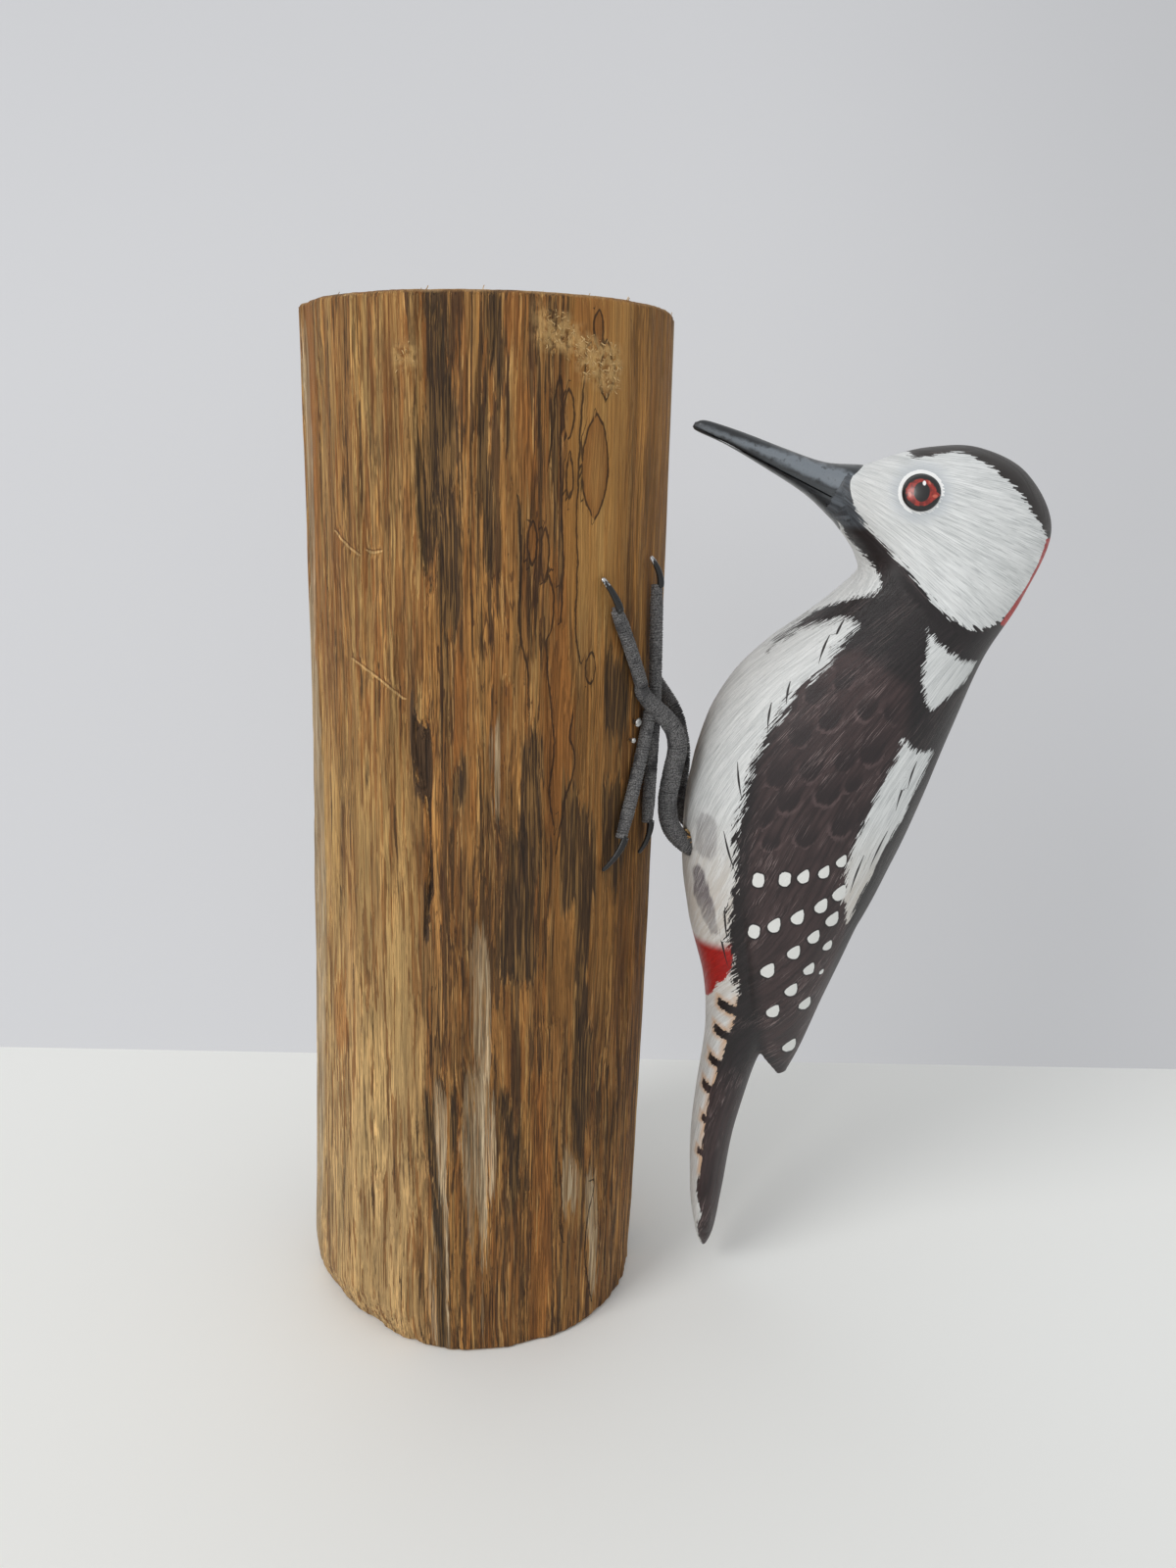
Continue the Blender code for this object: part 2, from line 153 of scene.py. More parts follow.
SQUARE = ((0, 0), (1, 0), (1, 1), (0, 1))
print("the middle of a unit square is", outline_distance(np.array([(0.5, 0.5)]), SQUARE)[0], "inside it")


# %% Making objects
def add_object(name, data):
    """An object in the scene for this mesh, lamp or camera."""
    made = bpy.data.objects.new(name, data)
    bpy.context.scene.collection.objects.link(made)
    return made


def make_object(name, mesh, finish, smooth=True):
    """A mesh object with its one material, shaded smooth unless it is flat."""
    if smooth:
        mesh.shade_smooth()
    mesh.materials.clear()
    mesh.materials.append(finish)
    return add_object(name, mesh)


def finish_mesh(builder, mesh):
    """Turns a bmesh's faces outwards and puts it into this mesh."""
    bmesh.ops.recalc_face_normals(builder, faces=builder.faces)
    builder.to_mesh(mesh)
    builder.free()
    return mesh


def mesh_from_grid(name, grid):
    """A closed skin over rings of points (rings, columns, 3), in metres."""
    rows, columns = grid.shape[:2]
    index = np.arange(rows * columns).reshape(rows, columns)
    right = np.roll(index, -1, axis=1)
    faces = np.stack([index[:-1], right[:-1], right[1:], index[1:]], -1).reshape(-1, 4).tolist()
    points = grid.reshape(-1, 3).tolist()
    for row in (0, rows - 1):
        middle = len(points)
        points.append(grid[row].mean(axis=0).tolist())
        pairs = zip(index[row].tolist(), right[row].tolist())
        faces += [(b, a, middle) if row == 0 else (a, b, middle) for a, b in pairs]
    mesh = bpy.data.meshes.new(name)
    mesh.from_pydata(points, [], faces)
    builder = bmesh.new()
    builder.from_mesh(mesh)
    return finish_mesh(builder, mesh)


def kept_mesh(holder):
    """What an object's modifier makes of it, as a plain mesh; the object goes."""
    graph = bpy.context.evaluated_depsgraph_get()
    made = bpy.data.meshes.new_from_object(holder.evaluated_get(graph), depsgraph=graph)
    holder.modifiers.clear()
    bpy.data.objects.remove(holder)
    return made


# %% Reading and writing a mesh's values
def vectors_of(items, key):
    """The place or the normal of each vertex, one to a row."""
    found = np.zeros(len(items) * 3, np.float32)
    items.foreach_get(key, found)
    return found.reshape(-1, 3).astype(float)


def vertices_of(mesh):
    return vectors_of(mesh.vertices, "co")


def edge_ends(mesh):
    """The vertex at each end of every edge, as two lists."""
    ends = np.zeros(len(mesh.edges) * 2, np.int32)
    mesh.edges.foreach_get("vertices", ends)
    return ends.reshape(-1, 2).T


def move_vertices(mesh, points):
    mesh.vertices.foreach_set("co", points.astype(np.float32).ravel())
    mesh.update()


def set_values(mesh, name, values):
    """Stores one number, or one vector, for each vertex under this name."""
    values = np.asarray(values, np.float32)
    kind, slot = ("FLOAT", "value") if values.ndim == 1 else ("FLOAT_VECTOR", "vector")
    mesh.attributes.new(name, kind, "POINT").data.foreach_set(slot, values.ravel())


def settle_on_log(mesh):
    """Moves a mesh from the bird's frame onto the log, and keeps its side view for the paint."""
    place = vertices_of(mesh) / MM
    set_values(mesh, "side_view", place)
    move_vertices(mesh, to_world(place))


print("one millimetre is", MM, "of the scene's metres")

# %% [markdown]
# ## The body as the carver sees it
# The block was carved by eye from a side view, so the body is written down the same way: eighteen
# stations from the root of the bill to the tip of the tail, each with a point on the back, a point on the
# throat or belly, and half of the width between them. A fuller-than-round section joins the two points.
# Fine rows read between the stations give the curves of the breast and nape.

# %% Stations of the body and the wings' back line
BODY = (
    ("bill root", (75.0, 187.3), (69.8, 176.8), 6.2),
    ("lores", (81.0, 189.3), (73.0, 173.0), 9.8),
    ("brow", (88.0, 190.9), (75.2, 169.3), 12.6),
    ("crown", (97.0, 191.0), (75.9, 166.6), 13.9),
    ("rear crown", (106.5, 186.4), (74.0, 164.2), 14.4),
    ("hind head", (112.3, 175.8), (67.5, 158.8), 14.6),
    ("nape", (108.3, 162.6), (58.5, 151.8), 15.6),
    ("hind neck", (102.0, 150.6), (50.8, 143.4), 18.2),
    ("shoulder", (97.0, 135.8), (46.0, 133.0), 20.6),
    ("breast", (92.4, 121.0), (43.2, 119.6), 21.8),
    ("belly", (87.6, 107.2), (42.7, 105.2), 21.0),
    ("flank", (81.0, 91.0), (44.9, 90.4), 18.4),
    ("rump", (71.0, 75.6), (48.4, 77.4), 14.4),
    ("tail root", (62.6, 59.6), (49.6, 63.4), 10.6),
    ("tail", (57.6, 40.0), (47.6, 41.0), 8.8),
    ("tail middle", (55.4, 23.5), (47.8, 23.4), 7.6),
    ("tail end", (53.9, 12.0), (49.4, 11.6), 5.2),
    ("tail tip", (52.2, 6.3), (51.2, 6.3), 1.6),
)
WINGS_START = 10
WING_BACK = ((87.6, 107.2), (81.2, 91.0), (75.8, 75.6), (71.4, 61.4), (67.6, 52.0))
FULLNESS = 2.2
CORE_ROWS = np.array([(*upper, *lower, half) for _, upper, lower, half in BODY])
MANTLE_ROWS = CORE_ROWS.copy()
MANTLE_ROWS[WINGS_START:WINGS_START + len(WING_BACK), :2] = WING_BACK
print("the body runs through", len(CORE_ROWS), "stations")


# %% Lofting rings of equal steps
SECTION_STEPS, LINE_STEPS, READ_STEPS = 721, 1200, 500
CORE_RINGS, CORE_COLUMNS = 300, 160


def ring_points(row, columns):
    """One section of the body: even points from the back, down one side and up the other."""
    x_top, z_top, x_low, z_low, half = row
    angle = np.linspace(0, 2 * math.pi, SECTION_STEPS)
    up = np.sign(np.cos(angle)) * np.abs(np.cos(angle)) ** (2 / FULLNESS)
    out = np.sign(np.sin(angle)) * np.abs(np.sin(angle)) ** (2 / FULLNESS)
    ring = np.stack([(x_top + x_low) / 2 + (x_top - x_low) / 2 * up, half * out,
                     (z_top + z_low) / 2 + (z_top - z_low) / 2 * up], 1)
    steps = np.concatenate([[0], np.cumsum(np.linalg.norm(np.diff(ring, axis=0), axis=1))])
    places = np.linspace(0, steps[-1], columns, endpoint=False)
    return np.stack([np.interp(places, steps, ring[:, axis]) for axis in range(3)], 1), steps[-1]


def loft(rows, count, columns):
    """Rings at equal steps down the middle line of these stations, their girths, and the line's length."""
    fine = np.linspace(0, len(rows) - 1, LINE_STEPS)
    read = spline(rows, fine)
    middle = (read[:, :2] + read[:, 2:4]) / 2
    length = np.concatenate([[0], np.cumsum(np.linalg.norm(np.diff(middle, axis=0), axis=1))])
    where = np.interp(np.linspace(0, length[-1], count), length, fine)
    rings = [ring_points(row, columns) for row in spline(rows, where)]
    return np.array([r[0] for r in rings]), np.array([r[1] for r in rings]), length[-1]


core_grid, core_girth, core_length = loft(CORE_ROWS, CORE_RINGS, CORE_COLUMNS)
print(f"the middle line is {core_length:.0f} mm long and the girth is up to {core_girth.max():.0f} mm")


# %% Half of the width at a point of the side view
def half_width(rows, points):
    """Half of the lofted body's width at each (u, z), and zero outside it."""
    read = spline(rows, np.linspace(0, len(rows) - 1, READ_STEPS))
    top, chord = read[:, :2], read[:, 2:4] - read[:, :2]
    found = np.zeros(len(points))
    for k, point in enumerate(points):
        reach = point - top
        ahead = (chord[:, 0] * reach[:, 1] - chord[:, 1] * reach[:, 0]) / np.linalg.norm(chord, axis=1)
        share = (chord * reach).sum(1) / (chord**2).sum(1)
        meets = np.flatnonzero((ahead[:-1] * ahead[1:] <= 0) & (share[:-1] > 0) & (share[:-1] < 1))
        if len(meets):
            i = meets[0]
            mix = ahead[i] / (ahead[i] - ahead[i + 1])
            depth = share[i] + (share[i + 1] - share[i]) * mix
            half = read[i, 4] + (read[i + 1, 4] - read[i, 4]) * mix
            found[k] = half * (1 - min(abs(2 * depth - 1), 1.0) ** FULLNESS) ** (1 / FULLNESS)
    return found


print(f"half of the breast is {half_width(CORE_ROWS, np.array([(68.0, 120.0)]))[0]:.1f} mm wide")

# %% [markdown]
# ## The folded wings
# The wings were left standing when the tail was cut free. Down most of the flank they are only painted,
# but towards the tail their front edge stands over a groove and their tips hang clear of the tail. Each
# one is a closed solid between the middle of the back and its front edge. It is flush at the shoulder and
# proud at the tip, so that the union of wings and body needs no seam. Each station of the table gives a
# point on the back, a point on the front edge, how far the wing stands proud, and how much of the body's
# width it keeps.

# %% Wing solids
WING = (
    ("shoulder", (97.0, 135.8), (62.0, 135.0), 0.0, 1.0),
    ("coverts", (92.4, 121.0), (57.5, 120.5), 0.0, 1.0),
    ("secondaries", (87.4, 106.6), (56.5, 104.0), 0.05, 1.0),
    ("tertials", (81.2, 91.0), (58.6, 88.0), 0.45, 1.0),
    ("primaries", (75.6, 75.0), (60.2, 73.0), 0.8, 0.97),
    ("primary ends", (71.4, 61.4), (62.0, 62.0), 0.7, 0.74),
    ("wing tip", (68.2, 53.6), (66.4, 53.6), 0.5, 0.42),
)
WING_SLIT, WING_LEAST = 0.35, 0.9
WING_RINGS, WING_COLUMNS = 70, 34


def wing_mesh(side):
    """A wing from the middle of the back out to its front edge, as a closed solid."""
    rows = np.array([(*back, *front, lift, taper) for _, back, front, lift, taper in WING])
    read = spline(rows, np.linspace(0, len(rows) - 1, WING_RINGS))
    share = np.linspace(0, 1, WING_COLUMNS)[:, None]
    shells = []
    for row in read:
        places = row[:2] * (1 - share) + row[2:4] * share
        skin = (half_width(MANTLE_ROWS, places) + row[4] * soft_step(0.0, 0.25, share[:, 0])) * row[5]
        skin = np.maximum(skin, WING_SLIT + WING_LEAST)
        outer = np.stack([places[:, 0], side * skin, places[:, 1]], 1)
        inner = np.stack([places[:, 0], np.full(len(places), side * WING_SLIT), places[:, 1]], 1)
        shells.append(np.vstack([outer, inner[::-1]]))
    return mesh_from_grid("wing", to_world(np.array(shells)))


wing_meshes = [wing_mesh(side) for side in (-1, 1)]
print("each wing solid has", len(wing_meshes[0].vertices), "points")

# %% [markdown]
# ## One skin
# The head, neck, trunk, tail and wings of the real bird are one piece of wood, so one closed skin stands
# for all of those nodes and no seam shows between them. The solids are laid over one another and wrapped
# with a voxel remesh. Half a millimetre is fine enough to keep the groove beside the tail, and a light
# two-way smoothing then takes off the voxels' steps without shrinking the shape.

# %% Wrap the solids and smooth the skin
SKIN_VOXEL = 0.53 * MM
SMOOTHING_ROUNDS, STEP_IN, STEP_BACK = 6, 0.55, -0.5
BILL_STUB = ((72.6, 187.6), (67.9, 178.4), 5.5)


def wrapped(meshes, voxel):
    """The union of closed meshes as one even skin."""
    builder = bmesh.new()
    for mesh in meshes:
        builder.from_mesh(mesh)
    joined = bpy.data.meshes.new("joined")
    builder.to_mesh(joined)
    builder.free()
    holder = add_object("holder", joined)
    remesh = holder.modifiers.new("wrap", "REMESH")
    remesh.mode = "VOXEL"
    remesh.voxel_size = voxel
    made = kept_mesh(holder)
    bpy.data.meshes.remove(joined)
    return made


def smooth_skin(mesh, rounds):
    """Moves each vertex towards its neighbours and part of the way back, so that the volume stays."""
    points = vertices_of(mesh)
    a, b = edge_ends(mesh)
    count = np.bincount(np.concatenate([a, b]), minlength=len(points))[:, None]
    for turn in range(2 * rounds):
        total = np.stack([np.bincount(a, points[b, k], len(points))
                          + np.bincount(b, points[a, k], len(points)) for k in range(3)], 1)
        points += (total / count - points) * (STEP_BACK if turn % 2 else STEP_IN)
    move_vertices(mesh, points)


core_rows_with_stub = np.vstack([[*BILL_STUB[0], *BILL_STUB[1], BILL_STUB[2]], CORE_ROWS])
stub_grid = loft(core_rows_with_stub, CORE_RINGS, CORE_COLUMNS)[0]
skin = wrapped([mesh_from_grid("core", to_world(stub_grid)), *wing_meshes], SKIN_VOXEL)
smooth_skin(skin, SMOOTHING_ROUNDS)
print("the skin has", len(skin.polygons), "faces")

# %% [markdown]
# ## Where things are on the skin
# The painter worked along the bird, so brush strokes need a direction. Each vertex of the skin looks up
# the nearest point of the lofted body and takes its distance down the body and its distance round it from
# the back.

# %% Places on the skin
def to_bird(points):
    """Scene metres back to bird-frame millimetres."""
    return (np.asarray(points, float) / MM - (BIRD_FOOT, 0.0, 0.0)) @ BIRD_AXES.T


def body_places(points):
    """How far down the body, and how far round it from the back, each point lies, in millimetres."""
    rows, columns = core_grid.shape[:2]
    tree = KDTree(rows * columns)
    for i, place in enumerate(core_grid.reshape(-1, 3)):
        tree.insert(place, i)
    tree.balance()
    nearest = np.array([tree.find(p)[1] for p in points])
    i, k = nearest // columns, nearest % columns
    down = core_grid[np.minimum(i + 1, rows - 1), k] - core_grid[np.maximum(i - 1, 0), k]
    round_step = core_grid[i, (k + 1) % columns] - core_grid[i, k - 1]
    off = points - core_grid[i, k]
    dd, rr, dr, od, orr = ((a * b).sum(1) for a, b in (
        (down, down), (round_step, round_step), (down, round_step), (off, down), (off, round_step)))
    spread = np.maximum(dd * rr - dr * dr, 1e-6)
    turn = (k + columns // 2) % columns - columns // 2
    along = (i + 2 * np.clip((od * rr - orr * dr) / spread, -1, 1)) * core_length / (rows - 1)
    return along, (turn + 2 * np.clip((orr * dd - od * dr) / spread, -1, 1)) * core_girth[i] / columns


EYE = (85.2, 182.6)
bird = to_bird(vertices_of(skin))
flat = bird[:, (0, 2)]
along, across = body_places(bird)
print(f"the skin runs up to {along.max():.0f} mm down the body and {np.abs(across).max():.0f} mm round it")

# %% [markdown]
# ## Small hollows in the wood
# A knife leaves the eye in a shallow dish, the drill leaves a ragged hole where each leg goes in, and a
# ridge runs down the tail. They are pushed into the finished skin by moving its vertices along their
# normals.

# %% Dishes, holes and the tail's ridge
LEG_HOLES = ((43.6, -7.9, 109.2), (44.4, 8.6, 109.0))
EYE_DISH, HOLE_DEPTH, RIDGE_HEIGHT, KNIFE_MARKS = 0.35, 1.3, 0.3, 0.10
TAIL_RIDGE = ((56.8, 62.0), (54.0, 48.0), (52.6, 30.0), (52.0, 14.0))


def line_distance(points, line):
    """How far each point of the side view is from a line of straight pieces."""
    line = np.asarray(line, float)
    return np.min([piece_distance(points, a, b) for a, b in zip(line, line[1:])], axis=0)


push = -EYE_DISH * soft_step(6.4, 3.9, np.linalg.norm(flat - EYE, axis=1))
for hole in LEG_HOLES:
    reach = np.linalg.norm(bird - hole, axis=1)
    push -= HOLE_DEPTH * soft_step(3.3, 2.0, reach + 0.5 * noise(bird, 0.9, 3))
push += RIDGE_HEIGHT * soft_step(1.6, 0.0, line_distance(flat, TAIL_RIDGE)) * (np.abs(bird[:, 1]) > 2)
push += KNIFE_MARKS * noise(np.stack([along, across, bird[:, 1] * 0.2], 1), (9.0, 5.0, 9.0), 5)
normals = vectors_of(skin.vertex_normals, "vector")
move_vertices(skin, vertices_of(skin) + normals * (push * MM)[:, None])
print(f"the skin moves by {push.min():.2f} to {push.max():.2f} mm")

# %% [markdown]
# ## The painted pattern
# Black, white and red meet along edges that the painter broke up with fine strokes. Each edge is a short
# outline on the side view, mirrored on the other flank. For every vertex the script works out how far it
# is inside the white or the red. A material can then draw a crisp line where that distance passes zero,
# however coarse the mesh is, and can fray it with noise.

# %% Outlines of the white and red paint
FACE = ((73.4, 187.9), (77.5, 192.0), (82.6, 193.0), (83.4, 189.3), (85.5, 188.8), (89.0, 189.5),
        (92.0, 190.0), (93.6, 189.6), (96.1, 188.4), (98.8, 186.9), (101.6, 184.6), (103.7, 182.8),
        (105.9, 180.1), (107.7, 177.8), (109.2, 175.9), (110.8, 174.0), (109.7, 169.5), (107.8, 165.1),
        (105.4, 161.4), (103.0, 158.3), (99.6, 157.4), (97.6, 157.3), (95.5, 157.8), (93.4, 158.8),
        (91.4, 160.2), (89.4, 162.0), (87.4, 163.9), (85.5, 165.8), (83.5, 168.1), (81.6, 170.3),
        (79.0, 173.0), (77.0, 174.7), (75.2, 176.8), (74.1, 178.8), (72.9, 181.6), (72.6, 184.2),
        (73.6, 186.3))
UNDERPARTS = ((69.0, 176.8), (71.0, 176.2), (73.0, 173.6), (75.0, 171.2), (77.0, 169.4), (78.6, 167.4),
              (79.5, 165.4), (78.6, 163.5), (76.0, 162.7), (72.9, 161.5), (70.0, 160.1), (67.2, 158.3),
              (64.0, 155.9), (61.4, 153.8), (58.7, 151.1), (61.6, 153.3), (63.9, 155.1), (66.3, 156.3),
              (69.0, 157.4), (71.0, 158.2), (73.0, 158.4), (75.0, 157.8), (73.0, 154.3), (71.0, 152.1),
              (70.0, 149.8), (68.3, 147.9), (66.4, 146.4), (64.2, 144.4), (62.6, 142.0), (61.5, 139.4),
              (59.6, 136.7), (58.5, 134.2), (57.2, 131.4), (55.8, 126.7), (54.9, 120.7), (54.1, 116.5),
              (53.9, 111.5), (54.2, 105.5), (53.8, 99.4), (53.3, 95.7), (53.7, 91.0), (54.7, 85.2),
              (55.6, 80.3), (56.2, 76.7), (55.7, 70.0), (54.3, 64.4), (53.4, 59.1), (52.4, 55.0),
              (51.2, 49.8), (50.9, 44.7), (50.3, 39.0), (50.3, 32.0), (49.6, 26.0), (49.8, 21.9),
              (51.0, 18.4), (50.0, 15.0), (50.6, 10.5), (50.4, 5.0), (38.0, 5.0), (32.0, 60.0),
              (28.0, 110.0), (36.0, 160.0), (60.0, 179.0))
NECK_PATCH = ((88.2, 157.3), (90.2, 154.9), (92.2, 153.4), (94.3, 151.9), (96.5, 150.7), (98.8, 150.2),
              (97.3, 146.7), (95.2, 145.2), (93.3, 143.5), (91.4, 141.8), (90.3, 141.7), (89.2, 143.2),
              (88.3, 146.4), (88.1, 150.2), (88.5, 154.2))
SHOULDER_PATCH = ((85.2, 135.8), (87.0, 134.2), (89.3, 132.9), (92.0, 132.4), (89.6, 126.1), (87.0, 119.3),
                  (84.4, 113.2), (81.9, 107.2), (79.4, 101.0), (78.0, 95.8), (77.3, 97.0), (76.5, 102.5),
                  (76.3, 107.6), (76.5, 110.9), (77.4, 114.7), (78.7, 118.3), (79.9, 121.7), (81.1, 124.9),
                  (82.6, 128.5), (83.9, 131.4))
VENT = ((36.0, 87.3), (50.0, 90.2), (54.4, 91.4), (54.7, 84.4), (53.4, 80.9), (52.0, 79.4), (51.0, 76.2),
        (49.6, 73.0), (47.4, 71.4), (36.0, 71.0))
NAPE = ((110.4, 174.2), (109.3, 169.5), (107.5, 165.1), (105.2, 161.4), (103.0, 157.9), (108.0, 155.0),
        (120.0, 165.0), (120.0, 174.6))
TAIL_BARS = ((54.6, 73.4, 1.3, 2.3), (53.6, 66.2, 1.2, 1.9), (52.6, 58.4, 1.0, 1.8), (51.4, 51.2, 1.0, 1.6),
             (50.9, 43.4, 0.8, 1.0), (50.2, 34.6, 0.8, 0.9))
print("the face has", len(FACE), "corners and the tail", len(TAIL_BARS), "bars")


# %% How far inside the paint each point is
def surface_distance(mesh, values):
    """Side-view distances stretched to what they measure over the rounded skin."""
    points = vertices_of(mesh) / MM
    a, b = edge_ends(mesh)
    slope = ((values[a] - values[b]) / np.linalg.norm(points[a] - points[b], axis=1)) ** 2
    total = np.bincount(a, slope, len(points)) + np.bincount(b, slope, len(points))
    count = np.bincount(a, minlength=len(points)) + np.bincount(b, minlength=len(points))
    steep = np.sqrt(2 * total / count)
    return values / np.clip(steep, 0.35, 1.0)


def bar_distance(points, u, z, half_height, reach):
    """Inside a dark bar that runs from the tail's dark side towards its white edge, a little upwards."""
    outline = ((u + 2.0, z + half_height), (u - reach, z + half_height + 1.0), (u - reach - 0.2, z + 0.2),
               (u - reach + 0.8, z - 0.4), (u + 2.0, z - half_height))
    return outline_distance(points, outline)


white = np.max([outline_distance(flat, smooth_outline(np.array(o), 2))
                for o in (FACE, UNDERPARTS, NECK_PATCH, SHOULDER_PATCH)], axis=0)
for bar in TAIL_BARS:
    white = np.minimum(white, -bar_distance(flat, *bar))
white = surface_distance(skin, white)
red = np.maximum(outline_distance(flat, VENT), surface_distance(skin, outline_distance(flat, NAPE)))
print(f"{(white > 0).mean():.0%} of the skin is white and {(red > 0).mean():.0%} is red")

# %% [markdown]
# ## Spots, feather centres and hair strokes
# Twenty-one white drops lie across the folded wing in slanting rows, each with a thin black rim. Above
# them the dark centres of the small wing feathers overlap in a staggered lattice, which a loop lays out.
# A few long dark hairs cross the white beside the wing.

# %% Drops on the wing
DROPS = ((59.0, 106.2, 1.0), (64.2, 107.0, 1.0), (68.0, 107.9, 0.9), (72.0, 108.9, 0.85), (75.3, 111.2, 0.8),
         (58.8, 94.6, 1.0), (62.9, 96.6, 1.0), (67.5, 98.7, 1.0), (72.0, 101.3, 1.0), (75.5, 104.0, 1.05),
         (62.3, 85.6, 1.1), (67.3, 90.4, 1.0), (71.1, 94.0, 0.95), (74.6, 97.9, 1.0),
         (64.1, 74.9, 1.05), (67.5, 80.7, 1.0), (70.8, 85.9, 0.9), (74.2, 91.3, 0.75),
         (70.8, 76.3, 1.0), (73.5, 84.4, 0.4), (68.5, 63.6, 1.15))
DROP_HALF_WIDTH, DROP_HALF_LENGTH = 1.15, 1.8
BLUNT_DROPS = (0, 1, 5)
BLUNT_LEAN, DROP_LEAN = 0.1, 0.42


def drop_reach(points, number):
    """0 at the middle of a drop and 1 on its edge, with the narrow end up and leaning back."""
    u, z, size = DROPS[number]
    lean = BLUNT_LEAN if number in BLUNT_DROPS else DROP_LEAN
    off = (points - (u, z)) / size
    a = (off[:, 0] * math.sin(lean) + off[:, 1] * math.cos(lean)) / DROP_HALF_LENGTH
    b = (off[:, 0] * math.cos(lean) - off[:, 1] * math.sin(lean)) / DROP_HALF_WIDTH
    if number in BLUNT_DROPS:
        return (np.abs(a * 1.15) ** 3 + np.abs(b) ** 3) ** (1 / 3)
    b = b / np.clip(1.0 - 0.5 * a, 0.3, 1.3)
    return np.hypot(a, b)


spot = np.min([drop_reach(flat, i) for i in range(len(DROPS))], axis=0)
print("the wing carries", len(DROPS), "drops a side")

# %% Feather centres and hairs
FEATHER_START, FEATHER_STEP, FEATHER_HALF = (68.0, 131.0), (6.0, 7.0), (2.1, 2.5)
FEATHER_SLANT, FEATHER_STRAY = 0.35, (2.2, 2.6)
NOTHING_NEAR = (9.0, 0.0, 0.0)
FEATHERED = ((66.0, 149.5), (74.0, 150.0), (83.5, 141.5), (82.5, 131.0), (77.0, 118.0), (74.5, 111.5),
             (57.5, 111.0), (59.0, 129.0), (62.5, 139.0))
WING_PAINT = ((66.0, 151.5), (76.0, 153.0), (86.0, 146.0), (86.0, 134.0), (78.0, 119.0), (78.0, 96.0),
              (74.0, 68.0), (69.0, 55.0), (62.6, 64.0), (60.2, 80.0), (57.0, 95.0), (57.0, 115.0),
              (58.0, 130.0))
HAIRS = (((72.9, 158.4), (71.0, 153.8)), ((70.2, 155.2), (68.3, 149.8)), ((63.1, 146.3), (62.5, 141.6)),
         ((59.7, 142.0), (59.2, 136.4)), ((53.6, 129.4), (54.9, 122.4)), ((51.6, 115.2), (54.4, 107.0)),
         ((51.6, 94.4), (54.0, 84.6)), ((52.6, 98.6), (53.6, 91.0)), ((86.9, 128.0), (85.3, 121.0)),
         ((84.0, 116.6), (81.2, 108.6)), ((79.6, 112.0), (77.6, 103.6)), ((88.6, 131.0), (87.4, 125.6)))
oval = np.tile(NOTHING_NEAR, (len(flat), 1))
for row, column in itertools.product(range(-4, 6), range(-6, 7)):
    aside = (column + 0.5 * (row % 2)) * FEATHER_STEP[0]
    middle = np.array(FEATHER_START) + (aside, row * FEATHER_STEP[1] + aside * FEATHER_SLANT)
    stray = lattice(np.array([[row, column, k] for k in range(3)]), 9) - 0.5
    off = (flat - (middle + FEATHER_STRAY * stray[:2])) / FEATHER_HALF / (1 + 0.5 * stray[2])
    up = np.where(off[:, 1] > 0, off[:, 1] * 0.55, off[:, 1])
    size = np.hypot(off[:, 0] - 0.3 * off[:, 1], up)
    near = size < oval[:, 0]
    oval[near] = np.stack([size, off[:, 1], 0 * size], 1)[near]
hair = np.tile(NOTHING_NEAR, (len(flat), 1))
for start, end in np.array(HAIRS):
    line = end - start
    t = (flat - start) @ line / (line @ line)
    b = ((flat - start) @ (-line[1], line[0])) / np.linalg.norm(line) + 0.2 * np.sin(t * 3.0)
    near = (np.abs(b) < 1.3) & (t > -0.05) & (t < 1.05)
    hair[near] = np.stack([b, 0.2 * np.clip(1.15 - np.abs(2 * t - 0.9), 0, 1), 0 * b], 1)[near]
wing_paint = soft_step(-1.2, 1.6, outline_distance(flat, WING_PAINT))
feathered = soft_step(-1.5, 1.5, outline_distance(flat, FEATHERED))
print(f"{(feathered > 0.5).mean():.0%} of the skin shows feather centres")

# %% [markdown]
# ## Strokes, stains and frayed edges
# Strokes follow the bird: on the face they spread from the bill as the feathers do, and down the body
# they lean forward over the breast and then run straight.

# %% Strokes, soft stains and how frayed each edge is
STROKE_SOURCE = (58.0, 192.0)
FACE_EDGE, FLANK_GAP = -1.6, 300.0
FACE_FRAY, FLANK_FRAY, TAIL_FRAY = 0.75, 1.5, 0.35
PALE_SMUDGE = ((45.5, 115.3), (46.5, 117.5), (49.2, 117.8), (50.4, 116.0), (50.3, 109.7), (48.4, 108.0),
               (45.6, 109.0))
DARK_SMUDGE = ((45.4, 104.5), (46.5, 106.2), (48.1, 105.8), (48.9, 102.0), (50.5, 97.7), (51.9, 91.6),
               (50.1, 91.2), (47.9, 94.9), (46.0, 98.9))
CROWN = ((82.0, 187.0), (84.0, 196.0), (104.0, 196.0), (118.0, 186.0), (116.0, 173.0), (109.0, 173.0),
         (100.0, 180.0))
from_bill = flat - STROKE_SOURCE
face_reach = outline_distance(flat, np.array(FACE))
on_face = face_reach > FACE_EDGE
seam = soft_step(1.3, 0.3, np.abs(face_reach - FACE_EDGE))
row_step = core_length / (len(core_grid) - 1)
slant = 0.55 * soft_step(106, 138, core_grid.mean(axis=1)[:, 2])
lean = np.interp(along, np.arange(len(core_grid)) * row_step, np.cumsum(slant) * row_step)
stroke_p = np.where(on_face, np.linalg.norm(from_bill, axis=1), along)
stroke_q = np.where(on_face, np.arctan2(-from_bill[:, 1], from_bill[:, 0]) * 40.0, np.abs(across) - lean)
stroke_q = stroke_q + FLANK_GAP * (bird[:, 1] > 0)
torn_edge = 0.5 * noise(bird, (0.5, 3.0, 3.0), 61)
